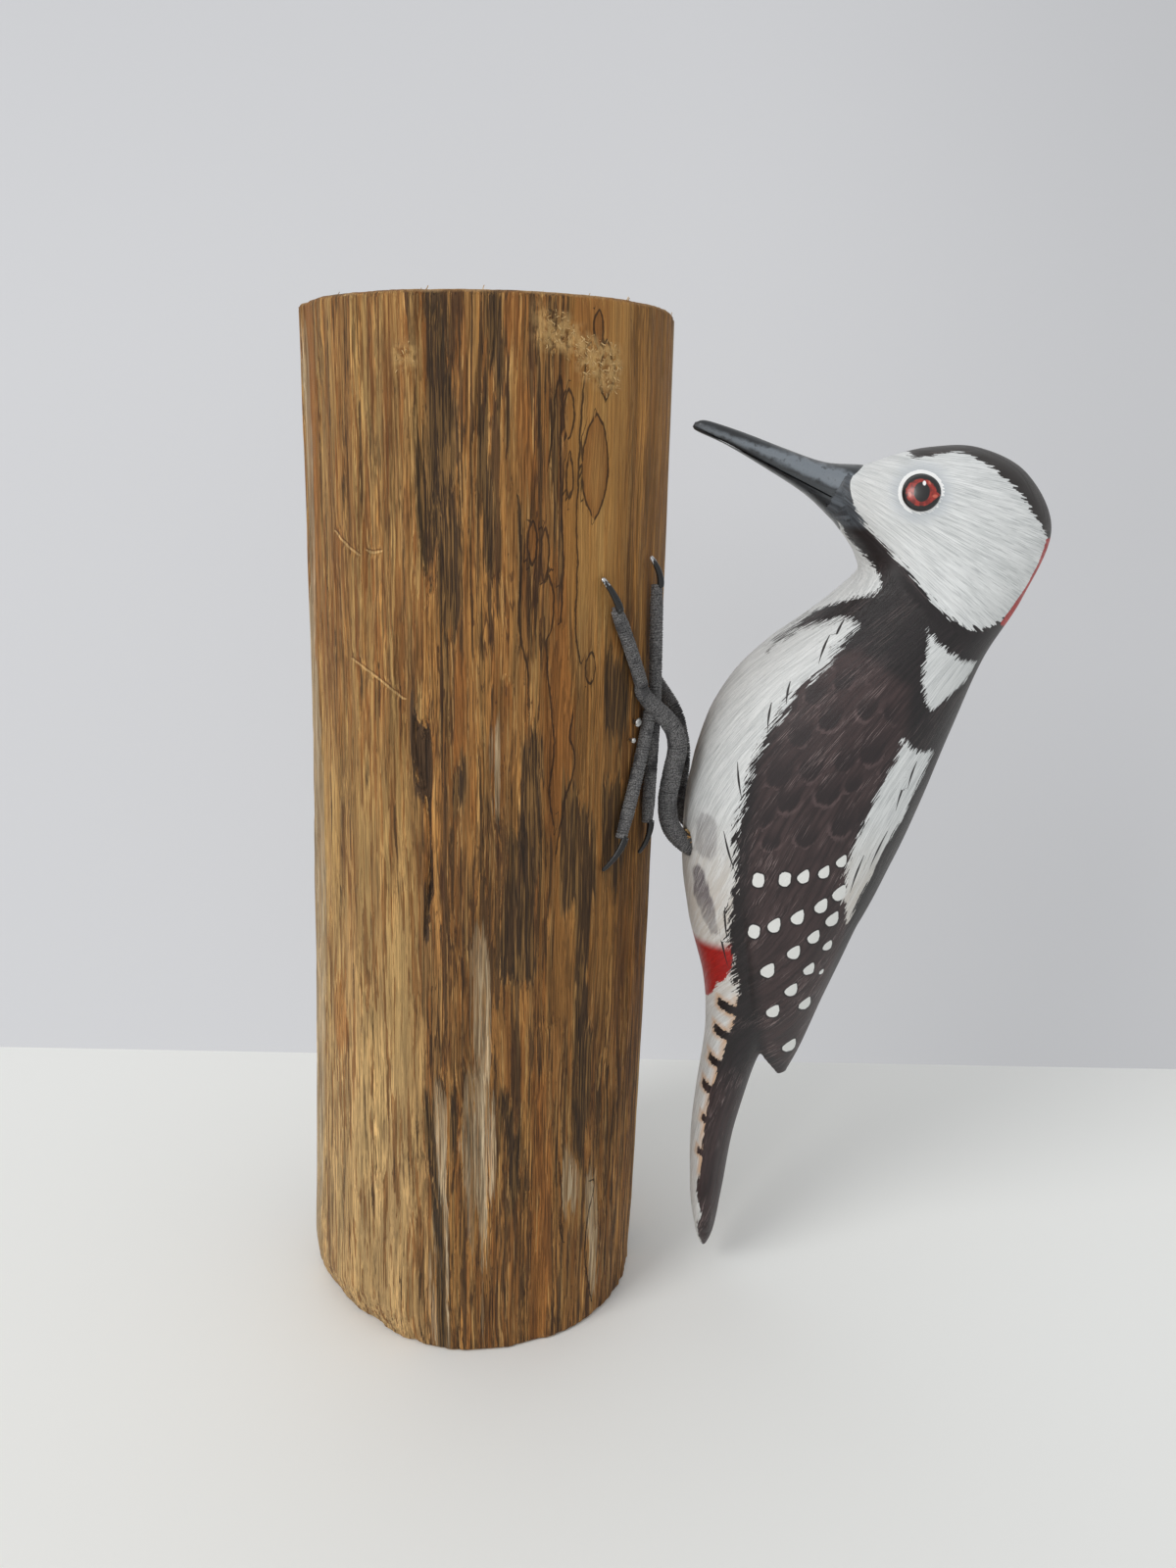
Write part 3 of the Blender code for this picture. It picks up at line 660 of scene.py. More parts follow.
smudge = np.maximum(0.5 * soft_step(-0.4, 0.5, outline_distance(flat, PALE_SMUDGE) + torn_edge),
                    soft_step(-0.3, 0.4, outline_distance(flat, DARK_SMUDGE) + torn_edge)
                    * (0.6 + 0.4 * soft_step(93.0, 101.0, flat[:, 1])))
tan = soft_step(1.9, 0.1, white) * band(flat[:, 1], 27.0, 31.0, 76.0, 79.0)
flank = (flat[:, 0] < 76) & (flat[:, 1] < 158)
ragged = np.where(flat[:, 1] < 78, TAIL_FRAY, np.where(flank & (flat[:, 1] > 78), FLANK_FRAY, FACE_FRAY))
ragged = ragged * soft_step(2.0, 7.0, np.linalg.norm(flat - (72.6, 184.0), axis=1))
crown = soft_step(-2.0, 1.0, outline_distance(flat, CROWN))
holes = np.min([np.linalg.norm(bird - hole, axis=1) for hole in LEG_HOLES], axis=0)
for name, values in (("white", white), ("red", red), ("spot", spot), ("oval", oval),
                     ("hair", hair), ("ragged", ragged), ("smudge", smudge), ("tan", tan), ("holes", holes),
                     ("wing_paint", wing_paint), ("feathered", feathered), ("crown", crown), ("seam", seam),
                     ("stroke", np.stack([stroke_p, stroke_q, bird[:, 1] * 0.1], 1)),
                     ("side_view", bird)):
    set_values(skin, name, values)
print("the skin carries", len(skin.attributes), "attributes")

# %% [markdown]
# ## Building materials in code
# A node tree reads best as a chain of small sums, so a few short helpers add a node, join it and hand
# back its output. Colours are written as they look on a screen and turned into light values once.


# %% Helpers for node trees
def rgb(*screen):
    """A colour as it is seen on a screen, from 0 to 255, as the linear values that shaders use."""
    return (*[((c / 255 + 0.055) / 1.055) ** 2.4 if c > 10 else c / 255 / 12.92 for c in screen], 1.0)


def add_node(tree, kind, inputs=None, **settings):
    """A node with its settings; each input takes a value or another node's output."""
    made = tree.nodes.new(kind)
    for key, value in settings.items():
        setattr(made, key, value)
    for key, value in (inputs or {}).items():
        if isinstance(value, bpy.types.NodeSocket):
            tree.links.new(value, made.inputs[key])
        else:
            made.inputs[key].default_value = value
    return made


def tree_of(values):
    """The node tree that the sockets among these values belong to."""
    return next(value.id_data for value in values if isinstance(value, bpy.types.NodeSocket))


def maths(operation, *values, kind="ShaderNodeMath"):
    return add_node(tree_of(values), kind, dict(enumerate(values)), operation=operation).outputs[0]


times, plus, minus, times_plus = (functools.partial(maths, operation)
                                  for operation in ("MULTIPLY", "ADD", "SUBTRACT", "MULTIPLY_ADD"))
vector_sum = functools.partial(maths, kind="ShaderNodeVectorMath")


def scaled(vector, factor):
    return add_node(vector.id_data, "ShaderNodeVectorMath", {0: vector, "Scale": factor},
                    operation="SCALE").outputs[0]


def split(vector):
    """The three numbers of a vector."""
    return add_node(vector.id_data, "ShaderNodeSeparateXYZ", {0: vector}).outputs


def length_of(a, b):
    """The long side of a right-angled triangle with these two short sides."""
    return maths("SQRT", plus(times(a, a), times(b, b)))


def rise(value, low, high, out_low=0.0, out_high=1.0):
    """A smooth rise from `out_low` to `out_high` as the value goes from `low` to `high`."""
    return add_node(value.id_data, "ShaderNodeMapRange",
                    {0: value, 1: low, 2: high, 3: out_low, 4: out_high},
                    interpolation_type="SMOOTHSTEP").outputs[0]


print("mid grey on a screen gives", round(rgb(128)[0], 3), "as light")


# %% Layers, patterns and relief
def lay_over(below, above, *shares, mode="MIX"):
    """One colour over another by the product of the shares; three screen numbers also make a colour."""
    share = functools.reduce(times, shares)
    below, above = (rgb(*c) if isinstance(c, tuple) and len(c) == 3 else c for c in (below, above))
    return add_node(tree_of((share, below, above)), "ShaderNodeMix", {0: share, 6: below, 7: above},
                    data_type="RGBA", blend_type=mode).outputs[2]


def coats(below, *layers):
    """One colour with others laid over it in turn; each layer is a colour and its shares."""
    for above, *shares in layers:
        below = lay_over(below, above, *shares)
    return below


def noise_of(vector, size, detail=2.0, roughness=0.5, seed=0.0):
    """Noise from 0 to 1 with lumps of `size`, a number or one for each axis, in the vector's own units."""
    size = (size,) * 3 if isinstance(size, (int, float)) else size
    spread = vector_sum("MULTIPLY_ADD", vector, tuple(1 / s for s in size), (seed, seed * 1.7, seed * 0.6))
    return add_node(vector.id_data, "ShaderNodeTexNoise", {"Vector": spread, "Scale": 1.0, "Detail": detail,
                                                           "Roughness": roughness}).outputs["Fac"]


def stored(tree, name, output="Fac"):
    return add_node(tree, "ShaderNodeAttribute", attribute_name=name).outputs[output]


def millimetres(tree):
    """The object's own coordinates, in millimetres."""
    return scaled(add_node(tree, "ShaderNodeTexCoord").outputs["Object"], 1000.0)


def start_material(name, roughness, coat=0.0, coat_roughness=0.1, specular=0.5, sheen=0.0):
    """A new Principled material with its uniform values set, its tree and its shader."""
    made = bpy.data.materials.new(name)
    made.use_nodes = True
    shader = made.node_tree.nodes["Principled BSDF"]
    for key, value in (("Roughness", roughness), ("Coat Weight", coat), ("Coat Roughness", coat_roughness),
                       ("Specular IOR Level", specular), ("Sheen Weight", sheen)):
        shader.inputs[key].default_value = value
    return made, made.node_tree, shader


def feed(node, name, value):
    value.id_data.links.new(value, node.inputs[name])


def bump(shader, height, depth, strength=1.0):
    """Relief of this depth in metres, for a height from 0 to 1."""
    made = add_node(height.id_data, "ShaderNodeBump",
                    {"Height": height, "Distance": depth, "Strength": strength})
    feed(shader, "Normal", made.outputs["Normal"])


print("the paint can read", len(skin.attributes), "attributes of the skin")

# %% Groups
FLOAT, VECTOR, MATERIAL = "NodeSocketFloat", "NodeSocketVector", "NodeSocketMaterial"


def new_group(name, inputs, outputs, kind="ShaderNodeTree"):
    """An empty group with named inputs (name, kind, default) and outputs (name, kind)."""
    group = bpy.data.node_groups.new(name, kind)
    for label, socket_kind, default in inputs:
        socket = group.interface.new_socket(name=label, in_out="INPUT", socket_type=socket_kind)
        if default is not None:
            socket.default_value = default
    for label, socket_kind in outputs:
        group.interface.new_socket(name=label, in_out="OUTPUT", socket_type=socket_kind)
    return group, group.nodes.new("NodeGroupInput").outputs, group.nodes.new("NodeGroupOutput")


def use_group(group, inputs):
    return add_node(tree_of(inputs.values()), "ShaderNodeGroup", inputs, node_tree=group)


print("groups take", FLOAT, "and", VECTOR, "inputs")

# %% [markdown]
# ## Brush strokes as a group
# Every painted piece shows the hairs of the brush: long thin streaks along the stroke, uneven in
# strength. Noise squeezed across the stroke and stretched along it gives that. The skin and the bill use
# it with their own lengths and widths, so it is built once.

# %% The brush group
brush_group, brush_in, brush_out = new_group(
    "brush strokes",
    [("Place", VECTOR, None), ("Length", FLOAT, 4.0), ("Width", FLOAT, 0.3), ("Seed", FLOAT, 0.0)],
    [("Streaks", FLOAT), ("Load", FLOAT)])
brush_sizes = add_node(brush_group, "ShaderNodeCombineXYZ",
                       {0: brush_in["Length"], 1: brush_in["Width"], 2: 1.0})
brush_place = vector_sum("DIVIDE", brush_in["Place"], brush_sizes.outputs[0])
brush_place = vector_sum("ADD", brush_place, brush_in["Seed"])
streaks = noise_of(brush_place, 1.0, 2.0, 0.55)
load = noise_of(brush_place, (1.6, 7.0, 1.0), 2.0, 0.5, 3.0)
feed(brush_out, "Streaks", rise(streaks, 0.3, 0.7))
feed(brush_out, "Load", rise(load, 0.3, 0.7))
print("brush strokes group has", len(brush_group.nodes), "nodes")

# %% [markdown]
# ## Paint on the skin
# The coat goes on in the painter's order: purple black on the wings and brown black on the crown, dark
# feather centres and light hairs over them, then white with grey strokes in it, the red, and the spots
# last.

# %% The body paint
body_paint, tree, shader = start_material("painted body", roughness=0.42, specular=0.4)
stroke, bird_place = stored(tree, "stroke", "Vector"), stored(tree, "side_view", "Vector")
fine, broad, fray = (
    use_group(brush_group, {"Place": stroke, "Length": length, "Width": width, "Seed": seed}).outputs
    for length, width, seed in ((4.4, 0.16, 2.0), (9.0, 0.9, 7.0), (3.4, 0.36, 11.0)))
fine_streaks, broad_streaks, frayed = fine["Streaks"], broad["Streaks"], fray["Streaks"]
ragged_edge = times(minus(frayed, 0.5), stored(tree, "ragged"))
white_mask = rise(times_plus(ragged_edge, 1.9, stored(tree, "white")), -0.05, 0.05)
red_mask = rise(times_plus(ragged_edge, 0.5, stored(tree, "red")), -0.06, 0.08)
side = split(bird_place)
off_seam = minus(1.0, stored(tree, "seam"))
print("strokes and masks take", len(tree.nodes), "nodes")

# %% Black and brown, with feather centres and light hairs
on_wing = maths("MAXIMUM", stored(tree, "wing_paint"), rise(side[2], 62.0, 50.0, 0.0, 0.8))
# The root of the bill on the skin takes the bill's blue-black paint, made lighter blue grey here where the
# bill's painted highlight carries on onto it.
bill_root_with_highlight = times(rise(side[0], 76.6, 75.2), rise(side[2], 174.6, 176.4))
oval = split(stored(tree, "oval", "Vector"))
oval_edge = times_plus(frayed, 0.22, oval[0])
oval_mask = times(rise(oval_edge, 1.2, 1.02), rise(oval[1], 1.7, -0.3))
oval_mask = times(oval_mask, stored(tree, "feathered"))
oval_rim = times(rise(oval_edge, 1.16, 1.3), rise(oval_edge, 1.7, 1.35))
oval_rim = times(times(oval_rim, rise(oval[1], 0.2, -0.5)), stored(tree, "feathered"))
light_hair = times(rise(fine_streaks, 0.8, 1.0), rise(broad["Load"], 0.35, 0.8))
light_hair = times(times(light_hair, rise(on_wing, 0.0, 1.0, 0.3, 0.75)), off_seam)
spots = times_plus(noise_of(bird_place, 0.8), 0.22, stored(tree, "spot"))
dark = coats(lay_over((25, 22, 23), (40, 34, 36), broad_streaks),
             (lay_over((44, 34, 35), (66, 52, 52), broad_streaks), on_wing),
             ((38, 33, 31), stored(tree, "crown")),
             (lay_over((52, 56, 61), (92, 98, 105), broad_streaks), bill_root_with_highlight),
             ((36, 29, 31), oval_mask, 0.8),
             ((104, 86, 86), oval_rim, 0.4),
             ((150, 132, 130), light_hair),
             ((28, 24, 26), rise(spots, 1.5, 1.25, 0.0, 0.75)))
print("with the dark colours there are", len(tree.nodes), "nodes")

# %% White, with grey strokes, the ring round the eye and the stains
EYE_HALO, EYE_RING, EYE_BLACK = (7.4, 4.5), (4.32, 4.22), (3.6, 3.5)
# A warm grey over the white, strongest on the lower belly and fading towards the breast and the tail.
low_belly_warm_grey = times(rise(side[2], 122.0, 98.0), rise(broad_streaks, 0.0, 1.0, 0.3, 0.6))
low_belly_warm_grey = times(low_belly_warm_grey, rise(side[2], 66.0, 84.0, 0.15, 1.0))
eye_u, eye_z = minus(side[0], EYE[0]), minus(side[2], EYE[1])
from_eye = length_of(eye_u, eye_z)
low_back = minus(eye_u, eye_z)
ring_edge = times_plus(frayed, rise(low_back, -1.0, 5.0, 0.1, 0.7), from_eye)
white_paint = coats(lay_over((221, 223, 223), (202, 205, 205), broad_streaks),
                    ((150, 154, 156), rise(fine_streaks, 0.7, 0.95), 0.48),
                    ((238, 240, 240), rise(fine_streaks, 0.25, 0.05, 0.0, 0.6)),
                    ((202, 190, 176), low_belly_warm_grey),
                    ((176, 182, 188), rise(times_plus(broad_streaks, 1.2, from_eye), *EYE_HALO), 0.7),
                    ((240, 241, 241), rise(ring_edge, *EYE_RING)),
                    ((18, 17, 18), rise(from_eye, *EYE_BLACK)),
                    ((108, 102, 106), stored(tree, "smudge"), rise(fine_streaks, 0.1, 0.6, 0.5, 1.0)),
                    ((200, 160, 122), stored(tree, "tan"), rise(broad_streaks, 0.1, 0.9, 0.55, 0.85)))
print("the ring round the eye is", 2 * EYE_RING[1], "mm across")

# %% The whole coat, and its gloss and relief
vent_top = minus(side[2], times(side[0], 0.25))
vent_mask = times(red_mask, rise(vent_top, 77.6, 74.6))
red_share = maths("MAXIMUM", vent_mask, times(red_mask, rise(side[2], 120.0, 140.0)))
hair_parts = split(stored(tree, "hair", "Vector"))
hair_away = minus(maths("ABSOLUTE", hair_parts[0]), hair_parts[1])
hole_reach = times_plus(frayed, 0.9, stored(tree, "holes"))
paint = coats(dark,
              (white_paint, white_mask),
              (lay_over((178, 36, 32), (140, 28, 27), fine_streaks), red_share),
              ((40, 36, 38), rise(hair_away, 0.06, -0.03)),
              ((224, 225, 222), rise(spots, 1.14, 1.08)),
              ((70, 40, 30), rise(hole_reach, 3.3, 2.7)))
feed(shader, "Base Color", paint)
feed(shader, "Roughness", times_plus(broad_streaks, 0.12, 0.4))
relief = times_plus(fine_streaks, 0.6, times(broad_streaks, 0.4))
relief = lay_over((0.5, 0.5, 0.5, 1.0), relief, off_seam)
bump(shader, times_plus(white_mask, 0.5, relief), 0.05 * MM, 0.8)
body = make_object("body_skin", skin, body_paint)
print("the body paint has", len(tree.nodes), "nodes")

# %% [markdown]
# ## The bill
# The bill was carved with the head and painted a glossy blue black, with the gape left as a fine groove
# between its halves. Each half is a loft of the same kind, cut along the gape with a bisect. A lighter
# blue-grey band along the upper half is a painted highlight.

# %% Loft and cut the bill
BILL = (
    ((77.4, 187.0), (71.6, 174.6), 6.0),
    ((74.7, 187.4), (69.5, 176.9), 5.8),
    ((67.6, 187.8), (64.0, 181.6), 4.4),
    ((59.6, 190.3), (56.0, 186.4), 3.1),
    ((51.7, 193.1), (48.3, 190.6), 2.1),
    ((44.2, 195.3), (42.3, 193.2), 1.2),
    ((41.8, 195.0), (41.3, 194.1), 0.5),
)
BILL_RINGS, BILL_COLUMNS = 130, 72
GAPE = ((44.0, 193.1), (71.0, 180.3))
GAPE_GROOVE = 0.13
SHARP_EDGE = math.radians(40)
BILL_SLOPE = math.radians(19.0)
# Where the painted highlight along the upper mandible starts, near the tip.
HIGHLIGHT_START = (44.9, 193.4)
TONGUE = 0.8


def bill_half(name, side, finish):
    """The bill above or below the gape, closed along the cut, with its steep edges shaded sharp."""
    rows = np.array([(*upper, *lower, half) for upper, lower, half in BILL])
    grid = loft(rows, BILL_RINGS, BILL_COLUMNS)[0]
    builder = bmesh.new()
    builder.from_mesh(mesh_from_grid(name, grid * MM))
    (x0, z0), (x1, z1) = GAPE
    away = Vector((z1 - z0, 0, x0 - x1)).normalized() * side
    foot = (Vector((x0, 0, z0)) + away * GAPE_GROOVE) * MM
    cut = bmesh.ops.bisect_plane(builder, geom=builder.verts[:] + builder.edges[:] + builder.faces[:],
                                 plane_co=foot, plane_no=away, clear_inner=True)
    rim = [item for item in cut["geom_cut"] if isinstance(item, bmesh.types.BMEdge)]
    bmesh.ops.holes_fill(builder, edges=rim)
    if side > 0:
        middle = grid.mean(axis=1, keepdims=True)
        builder.from_mesh(mesh_from_grid("tongue", (middle + (grid - middle) * TONGUE) * MM))
    mesh = finish_mesh(builder, bpy.data.meshes.new(name))
    settle_on_log(mesh)
    made = make_object(name, mesh, finish)
    mesh.set_sharp_from_angle(angle=SHARP_EDGE)
    return made


print("the gape is", 2 * GAPE_GROOVE, "mm wide")

# %% The bill's paint
bill_paint, tree, shader = start_material("painted bill", roughness=0.3, coat=0.3, coat_roughness=0.2)
side = stored(tree, "side_view", "Vector")
laid = add_node(tree, "ShaderNodeMapping", {"Vector": side, "Rotation": (0.0, -BILL_SLOPE, 0.0)})
parts = split(laid.outputs[0])
along_bill = add_node(tree, "ShaderNodeCombineXYZ", {0: parts[0], 1: parts[2]})
bill_strokes = use_group(brush_group, {"Place": along_bill.outputs[0], "Length": 11.0, "Width": 0.7})
low_point = math.sin(BILL_SLOPE) * HIGHLIGHT_START[0] + math.cos(BILL_SLOPE) * HIGHLIGHT_START[1]
from_highlight = maths("ABSOLUTE", minus(parts[2], low_point))
blotches = noise_of(side, 1.6, 4.0, 0.62)
highlight_edge = times_plus(blotches, 1.6, from_highlight)
highlight_width = rise(parts[0], -18.0, 10.0, 1.2, 2.6)
# The lighter blue-grey band along the upper mandible is a painted highlight.
shade = coats(lay_over((32, 35, 39), (52, 57, 62), bill_strokes.outputs["Streaks"]),
              ((122, 130, 138), rise(minus(highlight_edge, highlight_width), 0.5, -0.5), 0.85),
              ((26, 27, 30), rise(blotches, 0.58, 0.7, 0.0, 0.7)))
feed(shader, "Base Color", shade)
feed(shader, "Roughness", rise(blotches, 0.3, 0.7, 0.25, 0.42))
bump(shader, noise_of(side, 1.4, 3.0, 0.55, 2.0), 0.05 * MM, 0.6)
bill_upper, bill_lower = (bill_half(f"bill_{word}_painted", sign, bill_paint)
                          for word, sign in (("upper", -1), ("lower", 1)))
print("the bill has", len(bill_upper.data.polygons) + len(bill_lower.data.polygons), "faces")

# %% [markdown]
# ## The eyes
# A painted dome stands in each socket. Rings round its middle carry the colours: a black pupil a little
# taller than round, a red iris drawn out to a point at the back, and black outside it. A coat of varnish
# gives the wet look, with one dot of white paint for the catch light.

# %% Domes and their paint
EYE_RADIUS, EYE_RISE, EYE_SUNK = 3.55, 1.25, 0.45
DOME_RINGS, DOME_COLUMNS = 26, 56


def eye_dome(name, side_sign, finish):
    """A shallow dome that sits in the head along the skin's own slope."""
    step = 1.0
    around = np.array([EYE, (EYE[0] + step, EYE[1]), (EYE[0], EYE[1] + step)])
    half, ahead, above = half_width(CORE_ROWS, around)
    outward = Vector((-(ahead - half) / step, side_sign, -(above - half) / step)).normalized()
    turn = np.array(outward.to_track_quat("Z", "Y").to_matrix())
    angle = np.linspace(0, 2 * math.pi, DOME_COLUMNS, endpoint=False)
    rings = []
    for t in np.linspace(0.02, 1.0, DOME_RINGS):
        reach = EYE_RADIUS * math.sin(t * math.pi / 2)
        height = EYE_RISE * math.cos(t * math.pi / 2) - EYE_SUNK
        ring = np.stack([reach * np.cos(angle), reach * np.sin(angle), np.full(DOME_COLUMNS, height)], 1)
        rings.append(ring @ turn.T + (EYE[0], side_sign * half, EYE[1]))
    mesh = mesh_from_grid(name, np.array(rings) * MM)
    settle_on_log(mesh)
    return make_object(name, mesh, finish)


print("the eyes are", 2 * EYE_RADIUS, "mm across")

# %% The eyes' paint
eye_paint, tree, shader = start_material("painted eye", roughness=0.35, coat=0.25, coat_roughness=0.12)
bird_place = stored(tree, "side_view", "Vector")
side = split(bird_place)
u, z = minus(side[0], EYE[0]), minus(side[2], EYE[1])


def oval_reach(width, height, shift_u=0.0, shift_z=0.0):
    """0 at the middle of an upright oval and 1 on its edge."""
    return length_of(maths("DIVIDE", minus(u, shift_u), width), maths("DIVIDE", minus(z, shift_z), height))


wobble = noise_of(bird_place, 0.9)
iris_edge = times_plus(wobble, 0.16, oval_reach(2.72, 2.42, -0.1, -0.1))
corner = plus(times(maths("ABSOLUTE", plus(z, 0.5)), 0.7), times(minus(u, 3.45), 0.55))
iris = maths("MAXIMUM", rise(iris_edge, 1.12, 1.06), times(rise(corner, 0.06, -0.06), rise(u, 1.2, 1.6)))
iris_red = lay_over((158, 44, 34), (112, 27, 23), rise(wobble, 0.4, 0.65))
for width, tall, at_u, at_z in ((0.7, 0.32, 2.4, -0.7), (0.45, 0.45, 1.4, 1.7), (0.35, 0.6, -2.15, -0.5)):
    glint = rise(plus(oval_reach(width, tall, at_u, at_z), wobble), 1.5, 1.0)
    iris_red = lay_over(iris_red, (214, 112, 92), glint, 0.7)
eye_colour = coats((20, 18, 19), (iris_red, iris),
                   ((22, 20, 21), rise(oval_reach(1.42, 1.8), 1.06, 0.96)),
                   ((245, 245, 245), rise(oval_reach(0.32, 0.45, 0.4, 1.6), 1.1, 0.8)))
feed(shader, "Base Color", eye_colour)
SIDES = {"left": -1, "right": 1}
eyes = {word: eye_dome("eye_dome_" + word, sign, eye_paint) for word, sign in SIDES.items()}
print("the eyes' paint has", len(tree.nodes), "nodes")

# %% [markdown]
# ## The log
# The log is a natural round with the bark peeled off, so its side is all torn fibres, streaks of rot and
# the thin black lines that fungus leaves. The mesh is wound as one fine grid, narrow across the grain and
# longer along it, since nothing on the log changes fast along the grain. Every mark is drawn on the
# unrolled side: degrees round from the front, and millimetres up.

# %% Shape of the log
LOG_HEIGHT, LOG_TOP, LOG_FOOT, LOG_LEAN, LEAN_POWER = 215.0, 36.7, 37.8, 4.4, 1.75
LOG_LOBES = ((2, 0.35, 0.6), (3, 0.25, 2.1), (5, 0.15, 4.0))
WORN_EDGE = {"depth": 3.6, "height": 10.0, "angle": -48.0, "spread": 52.0}
LOG_COLUMNS, LOG_ROWS = 520, 142
EASED_EDGE = np.array([(0.0, 1.0), (0.12, 0.55), (0.35, 0.25), (0.7, 0.06)])
EDGE_HEIGHT = 1.2


def log_axis(z):
    """How far the log has leant to the right at this height."""
    return LOG_LEAN * (1 - np.clip(1 - z / LOG_HEIGHT, 0, 1) ** LEAN_POWER)


def log_radius(degrees, z):
    """The radius at an angle round from the front, with a flared foot, shallow lobes and a worn edge."""
    turn = np.radians(degrees) - math.pi / 2
    radius = LOG_TOP + (LOG_FOOT - LOG_TOP) * (1 - z / LOG_HEIGHT) ** 2
    radius = radius + sum(depth * np.cos(count * turn + shift) for count, depth, shift in LOG_LOBES)
    off = ((degrees - WORN_EDGE["angle"] + 180) % 360 - 180) / WORN_EDGE["spread"]
    wear = np.cos(np.clip(off, -1, 1) * math.pi / 2) ** 2 * np.clip(1 - z / WORN_EDGE["height"], 0, 1) ** 1.5
    return radius - WORN_EDGE["depth"] * wear


def on_side(degrees, z, lift=0.0):
    """Points on the log's side in the scene's own axes, in millimetres."""
    reach = log_radius(degrees, z) + lift
    turn = np.radians(degrees)
    return np.stack([log_axis(z) + reach * np.sin(turn), -reach * np.cos(turn), z], -1)


side_heights = np.linspace(EDGE_HEIGHT, LOG_HEIGHT - EDGE_HEIGHT, LOG_ROWS)
heights = np.concatenate([EASED_EDGE[:, 0], side_heights, LOG_HEIGHT - EASED_EDGE[::-1, 0]])
insets = np.concatenate([EASED_EDGE[:, 1], np.zeros(LOG_ROWS), EASED_EDGE[::-1, 1]])
round_angles = np.arange(LOG_COLUMNS) * 360 / LOG_COLUMNS - 180
degrees, height = (g.ravel() for g in np.meshgrid(round_angles, heights))
inset = np.repeat(insets, LOG_COLUMNS)
place = on_side(degrees, height)
print("the log's side has", len(degrees), "points")

# %% [markdown]
# ## Marks on the log
# Streaks run far along the grain and stop short across it, so their outlines are measured in a space
# squeezed along the grain. Noise added to that distance then tears the ends into long fibres and leaves
# the flanks crisp.

# %% Streaks, stains and lines
ALONG_GRAIN, DEGREE = 5.0, 0.65
FAR, NEARBY = 9.0, 4.0
DARK_STREAKS = (
    ((-13.5, 216), (-14, 200), (-16, 190), (-15, 170), (-12.5, 164), (-9.5, 170), (-5, 178), (-4, 193),
     (-7, 205), (-10, 216)),
    ((1.5, 197), (4, 196), (6.5, 170), (4.5, 168), (1.5, 185)),
    ((3.5, 216), (8.5, 216), (9.5, 202), (7, 194), (4, 205)),
    ((21, 195), (23, 199), (25, 198), (26, 168), (24.5, 160), (23.5, 180)),
    ((-10.5, 183), (-5, 183), (-2.5, 168), (-3, 157), (-9, 157)),
    ((42, 151), (49, 152), (55, 140), (50, 133), (43, 137)),
    ((42.5, 126), (50.5, 125), (57, 113), (50, 101), (45.5, 104), (42.5, 115)),
    ((14.5, 137), (21, 136), (22, 117), (21, 96), (23, 87), (10, 86), (9, 98), (11, 111), (8, 120),
     (14, 120)),
    ((29, 127), (33.5, 124), (39, 118), (41, 105), (39.5, 85), (35, 86), (35, 102), (30, 98), (27.5, 110)),
    ((11.5, 63), (16, 57), (19, 40), (16, 38), (12.5, 50)),
    ((36, 84), (40.5, 83), (43, 52), (40.5, 42), (37, 45), (37, 63)),
    ((-13, 61), (-11.5, 45), (-8, 22), (-6, 0), (-4, 0), (-5, 20), (-7, 40), (-10.5, 55)),
    ((-5, 59), (-3.5, 60), (-1.5, 52), (-4, 50)), ((-15.8, 82), (-14.8, 82), (-15.2, 78)),
    ((-38, 147), (-35.5, 147), (-36, 140), (-37.5, 141)), ((-30, 146), (-27, 145), (-28, 142)),
    ((1.6, 27), (2.6, 27), (2.2, 24)), ((-5, 131), (-1.5, 131), (-2, 122), (-4.5, 122)),
)
RUSSET_STREAKS = (
    ((13, 200), (17, 196), (18, 183), (14, 182)), ((23, 170), (28, 168), (28, 152), (24, 156)),
    ((-37.5, 145), (-33, 144), (-34.5, 138), (-36.8, 127)), ((-5, 152), (-1, 151), (-1.5, 135), (-6, 129)),
    ((20.5, 63), (27, 62), (31, 18), (29, 0), (24, 0), (24, 34)),
    ((-54, 80), (-44, 80), (-45, 66), (-52, 64)),
    ((21, 150), (31, 150), (31, 124), (28.5, 117), (22, 119)), ((8, 216), (15, 216), (14, 206), (9, 204)),
    ((28, 200), (38, 206), (40, 216), (29, 216)), ((-70, 212), (-58, 212), (-60, 150), (-68, 150)),
)
PALE_STREAKS = (
    ((1.5, 95), (5, 97), (7.5, 87), (8, 64), (9, 43), (9.5, 19), (7, 20), (5.5, 34), (0.5, 42), (-2, 47),
     (-2, 56), (2.5, 60)),
    ((-11, 21), (-9, 21), (-7, 0), (-9.5, 0)), ((42.5, 37), (48, 36), (51, 4), (47, 8), (44, 25)),
    ((33, 44), (38.5, 43), (39, 31), (34, 32)),
    ((6, 140), (9, 138), (9, 122), (7.5, 121)), ((-73, 205), (-65, 203), (-64, 148), (-72, 140)),
    ((-80, 152), (-63, 148), (-60, 90), (-64, 20), (-80, 10)),
)
GOUGE = (((-18, 143), (-17, 141), (-15, 139), (-12.5, 140), (-11.5, 127), (-11.8, 121), (-10.7, 105),
          (-11.5, 103), (-12.6, 97), (-14.3, 95), (-14.2, 104), (-12.8, 113), (-13.5, 121), (-15.2, 124),
          (-17, 128), (-18, 135)),)
FLAT_BAND = (((-15, 216), (-16, 190), (-15, 170), (-12.5, 163), (-10, 166), (-9, 180), (-11, 205),
              (-12, 216)),)
print("the side carries", len(DARK_STREAKS), "dark streaks and", len(PALE_STREAKS), "pale ones")


# %% Distances on the unrolled side
def near_shape(points, shape):
    """Which points are close enough to a shape to be worth measuring."""
    return ((points > shape.min(0) - NEARBY) & (points < shape.max(0) + NEARBY)).all(1)


